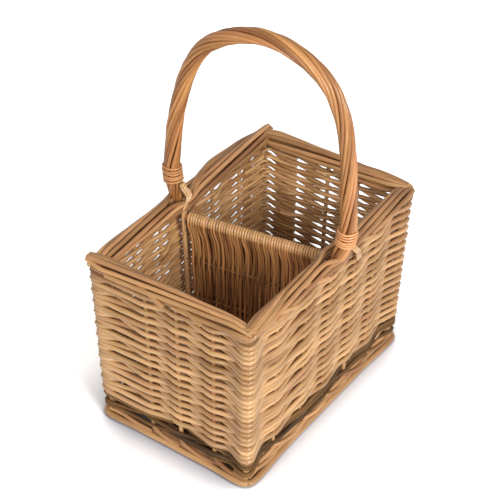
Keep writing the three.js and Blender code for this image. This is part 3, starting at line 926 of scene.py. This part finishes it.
def floor_rods():
    """Three sticks along the basket, and rods woven across them two by two."""
    foot = sizes("foot")
    low, high = box_mm("floor_weave")
    stick_low, stick_high = box_mm("floor_stick_front")
    level = (stick_low.z + stick_high.z) / 2
    side = (stick_low.y + stick_high.y) / 2
    chance = random.Random(41)
    rods = []
    for place in (side, 0, -side):
        points = [Vector((x, place, level)) for x in (low.x, 0, high.x)]
        rods.append(grown("floor stick", points, foot.floor_stick, chance.random(), 2))
    low -= FLOOR_MARGIN
    high += FLOOR_MARGIN
    pitch = foot.floor_rod * 0.96
    count = int((high.x - low.x) / pitch)
    swing = (foot.floor_stick + foot.floor_rod) / 2
    for number in range(count):
        x = low.x + (number + 0.5) * (high.x - low.x) / count
        rise = swing if number // 2 % 2 == 0 else -swing
        ways = ((low.y, 0), (side, rise), (0, -rise), (-side, rise), (high.y, 0))
        points = [Vector((x, y, level + up)) for y, up in ways]
        rods.append(grown("floor rod", points, foot.floor_rod, chance.random(), number))
    return rods


# Border


def bow_foot_along(side):
    """Where a foot of the bow stands along the front (-1) or the back wall (1), in X."""
    bow = sizes("bow")
    across = sizes("body").rim_width / 2 + bow.swell * 0.25
    return bow.offset - side * math.sin(bow.twist) * across


BORDER_ENDS = {LEFT.name: (-2, 42), FRONT.name: (-74, -22, 62), BACK.name: (-60, 44)}
# Along, out past the roll's middle line, levels above the axis, and the share of the rise over it
END_WAY = ((0, 2.2, -3.2, 0), (-7, 1.4, -0.8, 0), (-20, -1, 0, 0.2), (-34, -4, 0, 0.4))


class Roll:
    """The border of one wall: rods come up outside, lie side by side over it and go down inside."""

    LOW, HIGH = math.radians(-8), math.radians(205)  # where a rod comes up and where it goes in
    FRESH, SPENT, PARTED = 11, 13, 15  # lengths over which the rods draw together, or part
    POINTS_APART = 10
    SHORTEST = 18  # shorter rods are left out
    LIFT = 0.35  # every other rod lies so much higher, and the rest so much lower
    FILLING_END = 8  # how far the filling stops before the ends of the roll

    def __init__(self, wall, body, chance):
        self.wall = wall
        self.body = body
        self.chance = chance
        self.size = sizes("border")
        self.radius = self.size.rod / 2
        self.axis = box_mm("left_border")[0].z + self.radius
        self.across = self.size.width / 2 - self.radius
        self.rise = self.size.height - self.size.rod
        self.reach = body.reach(wall, self.axis)
        # The roll of the back and the left wall begins in a point, outside the corner
        self.pointed = wall in (BACK, LEFT)
        self.begin = -self.reach - (self.across + 1.5 if self.pointed else 2)
        self.end = self.reach + self.across - 2
        # The room that a leg of the bow needs on each side of its middle
        bow = sizes("bow")
        self.leg = bow.core / 2 + bow.roping + 0.5
        side = {FRONT.name: -1, BACK.name: 1}.get(wall.name)
        self.middle = bow_foot_along(side) * -side if side else None

    def at(self, along, out, level):
        return self.body.at(self.wall, along, out, level)

    def rod(self, kind, points, share, seed, dark=1):
        """A border rod of a share of the usual thickness."""
        return grown(kind, points, self.size.rod * share, self.chance.random() * dark, seed)

    def over(self, along, angle):
        """A place on the roll: out from the wall's line, and its level."""
        out = math.cos(angle) * self.across
        up = math.sin(angle)
        level = self.axis + (up * self.rise if up > 0 else up * 3)
        # The rods draw together to a tip at both ends, over the side before and under the side after
        fresh = math.exp(-(((along - self.begin) / self.FRESH) ** 2))
        spent = math.exp(-(((along - self.end) / self.SPENT) ** 2))
        out = mix(mix(out, 1.5 + out * 0.4, fresh), out * 0.72, spent)
        tip = self.axis + self.rise * 0.55 + up * 2.5
        level = mix(mix(level, tip, fresh), self.axis + up * 4, spent)
        # At the foot of the bow they part
        clear = self.leg + self.radius * 0.7
        if self.middle is not None and abs(out) < clear:
            near = math.exp(-(((along - self.middle) / self.PARTED) ** 2))
            out = mix(out, math.copysign(clear, out + 0.5), near)
            level = mix(level, min(level, self.axis + self.rise * 0.5), near)
        return out, level

    def rolled(self):
        """The rods of the roll, one after another round it."""
        chance, step = self.chance, self.size.step
        climb = step / self.size.lay
        first = self.LOW - (self.end - self.begin) * climb
        rods = []
        lane = 0
        while first + lane * step < self.HIGH:
            angle = first + (lane + chance.uniform(-0.06, 0.06)) * step
            up, down = (self.begin + (turn - angle) / climb for turn in (self.LOW, self.HIGH))
            start = max(self.begin - chance.uniform(-1.5, 1), up)
            stop = min(self.end + chance.uniform(-3, 1), down)
            lane += 1
            if stop - start < self.SHORTEST:
                continue
            points = []
            steps = max(3, round((stop - start) / self.POINTS_APART))
            for number in range(steps + 1):
                along = mix(start, stop, number / steps)
                out, level = self.over(along, angle + (along - self.begin) * climb)
                points.append(self.at(along, out, level))
            lift = self.LIFT if lane % 2 else -self.LIFT
            points = [point + UP * lift for point in points]
            kind = "rolled" if lane % 2 else "turned rolled"
            rods.append(self.rod(kind, points, chance.uniform(0.94, 1.06), lane + self.reach))
        return rods

    def cornered(self):
        """Two rods that come up from under the side before, round the corner."""
        before = WALLS[WALLS.index(self.wall) - 1]
        reach = self.body.reach(before, self.axis)
        start, axis, rise = -self.reach, self.axis, self.rise
        rods = []
        for inner in () if self.pointed else (0, 1):
            points = [
                self.body.at(before, reach - 12, 3.5 - inner * 3, axis - 4.5 + inner),
                self.body.at(before, reach + 1, 6 - inner * 3, axis - 1 + inner * 2),
                self.at(start - 2.5, 7 - inner * 4.4, axis + 3 + inner * 2),
                self.at(start + 9, 7.2 - inner * 4.6, axis + rise * 0.6 + inner * 1.5),
                self.at(start + 32, 5.5 - inner * 4.6, axis + rise * 0.85 + inner),
                self.at(start + 62, 1 - inner * 4.6, axis + rise * 0.95),
            ]
            rods.append(self.rod("cornered", points, 1.04, self.reach))
        return rods

    def loose(self):
        """On the back, rods that leave the roll at the bow and lie outside it up to the corner."""
        start, axis, rise, across = -self.reach, self.axis, self.rise, self.across
        rods = []
        for number, far in enumerate((2.2, 4.6, 0.4) if self.wall is BACK else ()):
            points = [
                self.at(start - 6, 4 - number, axis + 4.5 + number),
                self.at(start + 24, across + far * 0.5 - 0.5, axis + 5 + number),
                self.at(start + 60, across + far - 1.2, axis + 6 + number * 0.6),
                self.at(start + 92, across * 0.7 + far * 0.4, axis + rise + 1.5),
                self.at(start + 118, 2 - number, axis + rise + 1.2),
                self.at(start + 150, -6, axis + rise * 0.5),
            ]
            rods.append(self.rod("loose", points, 1, number))
        return rods

    def late_ends(self):
        """Ends of rods that were laid in late, which stick out below the roll."""
        rods = []
        for along in BORDER_ENDS.get(self.wall.name, ()):
            points = [
                self.at(along + on, self.across + out, self.axis + up + self.rise * share)
                for on, out, up, share in END_WAY
            ]
            rods.append(self.rod("late end", points, 0.92, along, 0.4))
        return rods

    def filling(self):
        """Rods under the roll that fill it."""
        begin, end = self.begin + self.FILLING_END, self.end - self.FILLING_END
        parts = [(begin, end)]
        if self.middle is not None:
            parts = [(begin, self.middle - self.leg), (self.middle + self.leg, end)]
        rods = []
        for out in (-self.across * 0.5, self.across * 0.15, self.across * 0.72):
            for start, stop in parts:
                points = [self.at(mix(start, stop, share), out, self.axis) for share in (0, 0.5, 1)]
                rods.append(grown("filling", points, self.size.rod, 0.9, out))
        return rods


def border_rods():
    body = Body()
    chance = random.Random(53)
    rods = []
    for wall in WALLS:
        roll = Roll(wall, body, chance)
        for part in (roll.rolled, roll.cornered, roll.loose, roll.late_ends, roll.filling):
            rods += part()
    return rods


# Bow handle


class Bow:
    """Middle line of the bow, from the front tip over the top to the back tip, in millimetres."""

    # Points of one half, from the tip up: how far out and how high, both as shares. On the leg the
    # first is the share of the swell outside the rim, on the arch that of half the bow's width
    LEG = ((0.25, 0), (0.744, 0.085), (1, 0.18))
    ARCH = (
        (0.993, 0.29), (0.975, 0.41), (0.938, 0.54), (0.87, 0.68), (0.795, 0.77),
        (0.668, 0.863), (0.482, 0.932), (0.25, 0.98), (0, 1),
    )
    # How much of the drawing in of a leg each of these points takes
    DRAWN_IN = (0, 0.8, 1, 1, 1, 1, 0.9, 0.75, 0.45, 0.15, 0, 0)
    POINTS_APART = 1.5
    TIP_LENGTH = 22
    TIP_SHARE, TOP_SHARE = 0.74, 0.92

    def __init__(self):
        self.size = sizes("bow")
        rim = sizes("body").rim_width / 2
        foot = box_mm("bow_core")[0].z
        half = [(rim + swell * self.size.swell, up) for swell, up in self.LEG]
        half += [(across * (rim + self.size.swell), up) for across, up in self.ARCH]
        sides = []
        for side, inward in ((-1, self.size.front_upright), (1, self.size.back_upright)):
            points = []
            for (across, up), share in zip(half, self.DRAWN_IN):
                y = side * (across - share * inward) + self.size.lean * up**2
                points.append(Vector((0, y, foot + up * (self.size.top - foot))))
            sides.append(points)
        self.line = smooth(sides[0] + sides[1][-2::-1], self.POINTS_APART)
        self.turn = Matrix.Rotation(self.size.twist, 3, "Z")
        self.lengths = [0.0]
        for before, after in zip(self.line, self.line[1:]):
            self.lengths.append(self.lengths[-1] + (after - before).length)
        self.length = self.lengths[-1]

    def middle(self, distance):
        """Point and direction at a distance from the front tip."""
        distance = min(max(distance, 0), self.length - 0.001)
        low = bisect_right(self.lengths, distance) - 1
        start, end = self.line[low], self.line[low + 1]
        share = (distance - self.lengths[low]) / (self.lengths[low + 1] - self.lengths[low])
        return start.lerp(end, share), (end - start).normalized()

    def beside(self, distance, away, angle):
        """A point away from the middle line. Angle 0 is outwards, a quarter turn along the basket."""
        point, along = self.middle(distance)
        across = Vector((1, 0, 0))
        outward = across.cross(along).normalized()
        local = point + outward * (math.cos(angle) * away) + across * (math.sin(angle) * away)
        return self.turn @ local + Vector((self.size.offset, 0, 0))

    def reaches(self, level):
        """Distance from the front tip at which the front leg reaches a level."""
        for point, distance in zip(self.line, self.lengths):
            if point.z >= level:
                return distance
        raise RuntimeError("the bow doesn't reach level " + str(level))

    def thinning(self, distance):
        """How thick the bow is, as a share: thinner at the tips, and a little at the top."""
        tip = min(1, min(distance, self.length - distance) / self.TIP_LENGTH)
        top = math.sin(math.pi * distance / self.length)
        return mix(self.TIP_SHARE, 1, tip) * mix(1, self.TOP_SHARE, top)


def bow_rods():
    """The core, and the rods twisted round it."""
    bow = Bow()
    chance = random.Random(61)
    size = bow.size
    steps = 60
    core = [bow.beside(bow.length * step / steps, 0, 0) for step in range(steps + 1)]
    rods = [grown("bow core", core, size.core * 0.95, 0.9, 1)]
    lay = size.core / 2 + size.roping / 2 - 0.1
    for number in range(size.roping_rods):
        points = []
        own = chance.uniform(-0.1, 0.1)
        for step in range(steps + 1):
            share = step / steps
            distance = bow.length * step / steps
            wander = noise.noise(Vector((share * 4, number * 3.7, 0.5))) * 0.22
            angle = (number / size.roping_rods + share * size.turns) * math.tau + own + wander
            uneven = noise.noise(Vector((share * 9, number * 2.9, 4))) * 0.7
            points.append(bow.beside(distance, lay * bow.thinning(distance) + uneven, angle))
        thickness = size.roping * chance.uniform(0.9, 1.08)
        rods.append(grown("roping", points, thickness, chance.random(), number))
    return rods


STEPS_PER_TURN = 20  # points of one turn of the binding cane


def binding_rods():
    bow = Bow()
    size = bow.size
    chance = random.Random(71)
    radius = size.core / 2 + size.roping - 0.2
    rise = size.cane * 1.4
    start = bow.reaches(size.binding_level)
    rods = []
    for end in (-1, 1):
        points = []
        for step in range(int(size.binding_turns * STEPS_PER_TURN) + 1):
            turn = step / STEPS_PER_TURN
            distance = start + turn * rise
            if end > 0:
                distance = bow.length - distance
            stray = noise.noise(Vector((turn * 1.7, end * 5, 2))) * 1.3
            away = radius + size.cane * 0.35 + stray * 0.3
            points.append(bow.beside(distance + stray, away, turn * math.tau))
        rods.append(grown("binding", points, size.cane, chance.random() * 0.5, end + 3))
    return rods


LANES = (-1, 0, 1)  # a tie's three canes, side by side
# The tie of the front foot down the wall: along from the bow, out, and up from the border's top
FRONT_TIE = ((13, 6, 1.5), (18, 12.5, -6), (24, 13, -13), (31, 9.5, -22), (37, 7.6, -32))


def tie_rods():
    body = Body()
    bow = Bow()
    size = bow.size
    divider = Divider()
    border_top = box_mm("left_border")[1].z
    chance = random.Random(83)
    rods = []

    def tie(points, seed):
        rods.append(grown("tie", points, size.cane * 1.2, chance.random() * 0.3, seed))

    # Back foot: over the inner side of the border and down to the divider's end.
    # Each point beside the bow has its level, its distance from the bow, and how far the canes spread
    levels = (size.binding_level - 2, border_top + 1, border_top - 6)
    back_tie = list(zip(levels, (9.6, 11.5, 16.2), (0.3, 0.26, 0.2)))
    high, top = divider.size.high_reach, divider.size.top
    for lane in LANES:
        aside = lane * size.cane * 1.2
        points = [
            bow.beside(bow.length - bow.reaches(level), away, math.pi - lane * spread)
            for level, away, spread in back_tie
        ]
        points.append(divider.at(aside - 1.5, high - 2, top + 9))
        points.append(divider.at(aside * 1.2 - 3, high - 3, top - 12))
        tie(points, lane + 7)
    # Front foot: on the slant over the border and down the outside of the wall
    foot = bow_foot_along(-1)
    start = bow.reaches(size.binding_level - 1)
    for lane in LANES:
        aside = lane * size.cane * 1.1
        points = [bow.beside(start, 9.4, 1.1 + lane * 0.2)]
        for along, out, up in FRONT_TIE:
            points.append(body.at(FRONT, foot + along + aside, out, border_top + up))
        tie(points, lane + 17)
    return rods


# Divider


class Divider:
    """Places and levels of the divider, in millimetres."""

    def __init__(self):
        self.size = sizes("divider")
        self.turn = Matrix.Rotation(self.size.twist, 3, "Z")
        self.foot, self.head = (corner.z for corner in box_mm("divider_front_stake"))
        low, high = (
            sum(corner.z for corner in box_mm("divider_" + name + "_rail")) / 2
            for name in ("low", "high")
        )
        self.rail_levels = (low, (low + high) / 2, high)

    def at(self, across, along, level):
        """A point across the divider, along it from its middle, and at a level."""
        return self.turn @ Vector((across, along, level)) + Vector((self.size.offset, 0, 0))

    def part_way(self, low, high, level):
        """A value that is low at the floor and high at the top rail."""
        return mix(low, high, (level - self.foot) / (self.size.top - self.foot))

    def rod(self, thickness, tone, seed, levels, inward=0):
        """A stake, through its levels at one end, or a rail, from end to end at its level."""
        points = []
        for end, level in levels:
            reach = self.part_way(self.size.low_reach, self.size.high_reach, level)
            points.append(self.at(0, end * (reach - inward), level))
        return grown("divider frame", points, thickness, tone, seed)


def divider_frame(divider, chance):
    """The end stakes and the rails."""
    size = divider.size
    foot, head = divider.foot, divider.head
    stakes = []
    for end in (-1, 1):
        levels = [(end, level) for level in (foot, (foot + head) / 2, head)]
        stakes.append(divider.rod(size.stake, chance.random() * 0.4, end + 2, levels))
    rails = []
    for level in divider.rail_levels:
        ends = [(end, level) for end in (-1, 0, 1)]
        rails.append(divider.rod(size.rail, chance.random(), level, ends, 1))
    ends = [(end, size.top) for end in (-1, 0, 1)]
    rails.append(divider.rod(size.top_rail, 0.5, 5, ends, 1))
    return stakes, rails


def divider_strand(divider, chance, number):
    """A strand: woven up the rails, laid over the top rail on the slant, and down again behind."""
    size, at = divider.size, divider.at
    foot, top = divider.foot, size.top
    half = size.low_reach - size.end_gap - (size.stake + size.strand) / 2
    share = number / (size.strands - 1)
    low_y = mix(-half, half, share)
    high_y = mix(-half - 5, half + 5, share)
    drift = chance.uniform(-0.9, 0.9)
    sign = 1 if number % 2 == 0 else -1
    points = [at(sign * 0.6, low_y + drift, foot)]
    for level, side in zip(divider.rail_levels, (sign, -sign, sign)):
        y = divider.part_way(low_y, high_y, level) + drift
        for up, part in ((-9, 0.3), (0, 1), (9, 0.3)):
            points.append(at(side * size.swing * part, y, level + up))
    lean = half / size.strands + chance.uniform(-0.25, 0.25)
    rail_y = high_y + size.slant
    sway = size.slant * 1.4 * noise.noise(Vector((number * 0.7, 3, 1)))
    over = (size.top_rail + size.strand) / 2 - 0.4
    points.append(at(-2, high_y + sway, top - 20))
    points.append(at(-over * 0.9, rail_y, top - 6))
    for step in range(7):
        angle = math.pi - step * math.pi / 6
        up = over * math.sin(angle)
        points.append(at(over * math.cos(angle), rail_y + lean * step / 6, top + up))
    points.append(at(over * 0.8, rail_y + lean, top - 12))
    behind = size.swing + size.strand * 0.6
    for level in (top - 30, (foot + top) / 2, foot):
        y = divider.part_way(low_y, high_y, level) + lean
        points.append(at(behind, y + chance.uniform(-0.4, 0.4), level))
    thickness = size.strand * chance.uniform(0.96, 1.08)
    strand = grown("strand", points, thickness, chance.random(), number)
    # Over the top rail the strand is painted paler: painted light for the light from above on its top
    strand.worn = top - 1
    return strand


def divider_rods():
    divider = Divider()
    chance = random.Random(97)
    stakes, rails = divider_frame(divider, chance)
    strands = [divider_strand(divider, chance, number) for number in range(divider.size.strands)]
    return stakes, rails, strands


# Operators


class BASKET_OT_walls(Operator):
    """Weaves the light rows of the four walls, and the dark row under the border"""

    bl_idname = "basket.walls"
    bl_label = "Weave the walls"

    def execute(self, context):
        rods, top_rods = light_weavers()
        nodes = [wall.name + "_weave" for wall in WALLS]
        make_piece("light_weavers", rods, finish_named("weavers"), nodes)
        make_piece("corner_tips", corner_tips(), finish_named("weavers"))
        make_piece("dark_top_weavers", top_rods, finish_named("bark"))
        return {"FINISHED"}


class BASKET_OT_upsett(Operator):
    """Weaves the dark rows at the bottom of the walls"""

    bl_idname = "basket.upsett"
    bl_label = "Weave the upsett"

    def execute(self, context):
        nodes = [wall.name + "_upsett" for wall in WALLS]
        make_piece("dark_weavers", dark_weavers(), finish_named("bark"), nodes, 12)
        return {"FINISHED"}


class BASKET_OT_uprights(Operator):
    """Sets the stakes and the corner posts"""

    bl_idname = "basket.uprights"
    bl_label = "Set the uprights"

    def execute(self, context):
        nodes = nodes_named("corner_post", *[wall.name + "_stake" for wall in WALLS])
        make_piece("uprights", uprights(), finish_named("weavers"), nodes)
        return {"FINISHED"}


class BASKET_OT_foot(Operator):
    """Lays the foot rim and brings the rods down to it"""

    bl_idname = "basket.foot"
    bl_label = "Lay the foot"

    def execute(self, context):
        nodes = [wall.name + "_foot" for wall in WALLS]
        make_piece("foot_rods", foot_rods(), finish_named("border"), nodes, 12)
        return {"FINISHED"}


class BASKET_OT_floor(Operator):
    """Weaves the floor"""

    bl_idname = "basket.floor"
    bl_label = "Weave the floor"

    def execute(self, context):
        nodes = nodes_named("floor_")
        make_piece("floor_rods", floor_rods(), finish_named("weavers"), nodes, 8)
        return {"FINISHED"}


class BASKET_OT_border(Operator):
    """Rolls the border round the rim, parted at the feet of the bow"""

    bl_idname = "basket.border"
    bl_label = "Roll the border"

    def execute(self, context):
        nodes = [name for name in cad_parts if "_border" in name]
        make_piece("border_rods", border_rods(), finish_named("border"), nodes, 12)
        return {"FINISHED"}


class BASKET_OT_bow(Operator):
    """Twists the roping of the bow handle round its core"""

    bl_idname = "basket.bow"
    bl_label = "Rope the bow"

    def execute(self, context):
        nodes = ["bow_core", *nodes_named("bow_roping_")]
        make_piece("bow_rods", bow_rods(), finish_named("bow"), nodes, 14)
        return {"FINISHED"}


class BASKET_OT_bindings(Operator):
    """Binds the feet of the bow with cane and ties them to the basket"""

    bl_idname = "basket.bindings"
    bl_label = "Bind the feet"

    def execute(self, context):
        bindings = ["bow_front_binding", "bow_back_binding"]
        ties = ["bow_front_tie", "bow_back_tie"]
        make_piece("foot_bindings", binding_rods(), finish_named("cane"), bindings)
        make_piece("foot_ties", tie_rods(), finish_named("weavers"), ties)
        return {"FINISHED"}


class BASKET_OT_divider(Operator):
    """Weaves the divider on its rails"""

    bl_idname = "basket.divider"
    bl_label = "Weave the divider"

    def execute(self, context):
        stakes, rails, strands = divider_rods()
        finish = finish_named("divider")
        stake_nodes = ["divider_front_stake", "divider_back_stake"]
        rail_nodes = ["divider_low_rail", "divider_high_rail", "divider_top_rail"]
        make_piece("divider_stakes", stakes, finish_named("weavers"), stake_nodes)
        make_piece("divider_rails", rails, finish, rail_nodes)
        make_piece("divider_strands_woven", strands, finish, ["divider_strands"])
        return {"FINISHED"}


class BASKET_OT_stage(Operator):
    """Sets the floor, the soft lamps and the camera"""

    bl_idname = "basket.stage"
    bl_label = "Set the stage"

    def execute(self, context):
        stage = sizes("stage")
        stage_floor(stage)
        studio_world(stage)
        lamp("key_lamp", (-0.5, -1.45, 0.95), stage.key)
        lamp("fill_lamp", (-1.8, -0.4, 1.1), stage.fill)
        camera()
        context.scene.view_settings.view_transform = "Standard"
        return {"FINISHED"}


OPERATORS = [
    BASKET_OT_uprights,
    BASKET_OT_upsett,
    BASKET_OT_walls,
    BASKET_OT_foot,
    BASKET_OT_floor,
    BASKET_OT_border,
    BASKET_OT_divider,
    BASKET_OT_bow,
    BASKET_OT_bindings,
    BASKET_OT_stage,
]


# Stage


FLOOR_GREY = (0.88, 0.88, 0.88, 1)
WHITE = (1, 1, 1, 1)
DARKEST = 0.45  # where the floor is no more open to the air than this, its shade is darkest
LEFT_OUT = 0.3  # how much of the shade is left out before the front wall
FADE = (-30, 10)  # the shade comes in between these places, in millimetres from the front wall


def stage_floor(stage):
    """A pale floor. The camera sees it twice as bright as it is lit, and shaded close to the foot."""
    half = stage.floor_half * MM
    mesh = bpy.data.meshes.new("floor")
    corners = [(-half, -half, 0), (half, -half, 0), (half, half, 0), (-half, half, 0)]
    mesh.from_pydata(corners, [], [(0, 1, 2, 3)])
    floor = bpy.data.objects.new("stage_floor", mesh)
    bpy.context.collection.objects.link(floor)
    material = bpy.data.materials.new("pale_floor")
    add = cleared(material)
    # The light comes in over the front wall, so the shade is faint before it
    place = add("ShaderNodeTexCoord").outputs["Object"]
    axes = add("ShaderNodeSeparateXYZ", {0: place})
    front = -sizes("body").floor_width / 2 * MM
    before = add("ShaderNodeMapRange", {
        "Value": axes.outputs["Y"],
        "From Min": front + FADE[0] * MM,
        "From Max": front + FADE[1] * MM,
        "To Min": LEFT_OUT,
        "To Max": 0,
    })
    close = add("ShaderNodeAmbientOcclusion", {"Distance": stage.contact * MM})
    open_air = add("ShaderNodeMapRange", {
        "Value": close.outputs["AO"],
        "From Min": DARKEST,
        "To Min": before.outputs["Result"],
    })
    feeds = {0: open_air.outputs["Result"], 6: (*stage.contact_shade, 1), 7: WHITE}
    shade = add("ShaderNodeMix", feeds, data_type="RGBA")
    seen = add("ShaderNodeBsdfDiffuse", {"Color": shade.outputs[2]}).outputs[0]
    twice = add("ShaderNodeAddShader", {0: seen, 1: seen})
    lit = add("ShaderNodeBsdfDiffuse", {"Color": FLOOR_GREY})
    camera_ray = add("ShaderNodeLightPath").outputs["Is Camera Ray"]
    either = add("ShaderNodeMixShader", {0: camera_ray, 1: lit.outputs[0], 2: twice.outputs[0]})
    add("ShaderNodeOutputMaterial", {"Surface": either.outputs[0]})
    mesh.materials.append(material)


def studio_world(stage):
    """White all round for the camera, and dimmer as a light."""
    world = bpy.data.worlds.new("studio")
    add = cleared(world)
    camera_ray = add("ShaderNodeLightPath").outputs["Is Camera Ray"]
    feeds = {"Value": camera_ray, "To Min": stage.world_light, "To Max": 1}
    level = add("ShaderNodeMapRange", feeds)
    sky = add("ShaderNodeBackground", {"Color": WHITE, "Strength": level.outputs[0]})
    add("ShaderNodeOutputWorld", {"Surface": sky.outputs[0]})
    bpy.context.scene.world = world


LAMP_SIZE = 0.7
AIM = Vector((0, 0, 0.15))  # the middle of the basket


def lamp(name, place, power):
    """A square soft lamp aimed at the basket. Its place is in metres and its power in watts."""
    data = bpy.data.lights.new(name, "AREA")
    data.size = LAMP_SIZE
    data.energy = power
    light = bpy.data.objects.new(name, data)
    light.location = place
    light.rotation_euler = (AIM - Vector(place)).to_track_quat("-Z", "Y").to_euler()
    bpy.context.collection.objects.link(light)


def camera():
    """The photograph's camera: its place in metres, its direction, and its focal length."""
    place = Vector((-0.9405, -0.6435, 1.0395))
    yaw, pitch, roll = (math.radians(angle) for angle in (55.28, 37.46, 1.05))
    focal_pixels = 1436
    image_pixels = 500
    ahead = Vector(
        (math.sin(yaw) * math.cos(pitch), math.cos(yaw) * math.cos(pitch), -math.sin(pitch))
    )
    level = ahead.cross(UP).normalized()
    upright = level.cross(ahead)
    right = level * math.cos(roll) + upright * math.sin(roll)
    over = upright * math.cos(roll) - level * math.sin(roll)
    data = bpy.data.cameras.new("camera")
    data.sensor_width = 36
    data.lens = data.sensor_width * focal_pixels / image_pixels
    view = bpy.data.objects.new("camera", data)
    axes = Matrix((right, over, -ahead)).transposed().to_4x4()
    view.matrix_world = Matrix.Translation(place) @ axes
    bpy.context.collection.objects.link(view)
    bpy.context.scene.camera = view


class BASKET_PT_panel(Panel):
    """Lists the steps that build the basket"""

    bl_idname = "BASKET_PT_panel"
    bl_label = "Basket"
    bl_space_type = "VIEW_3D"
    bl_region_type = "UI"
    bl_category = "Basket"

    def draw(self, context):
        for step in OPERATORS:
            self.layout.operator(step.bl_idname)


CLASSES = [*SETTINGS.values(), *OPERATORS, BASKET_PT_panel]


def register():
    for item in CLASSES:
        bpy.utils.register_class(item)
    for name, group in SETTINGS.items():
        setattr(bpy.types.Scene, name, PointerProperty(type=group))


def unregister():
    for name in SETTINGS:
        delattr(bpy.types.Scene, name)
    for item in reversed(CLASSES):
        bpy.utils.unregister_class(item)


def main():
    register()
    for step in OPERATORS:
        group, name = step.bl_idname.split(".")
        getattr(getattr(bpy.ops, group), name)()


if __name__ == "__main__":
    main()
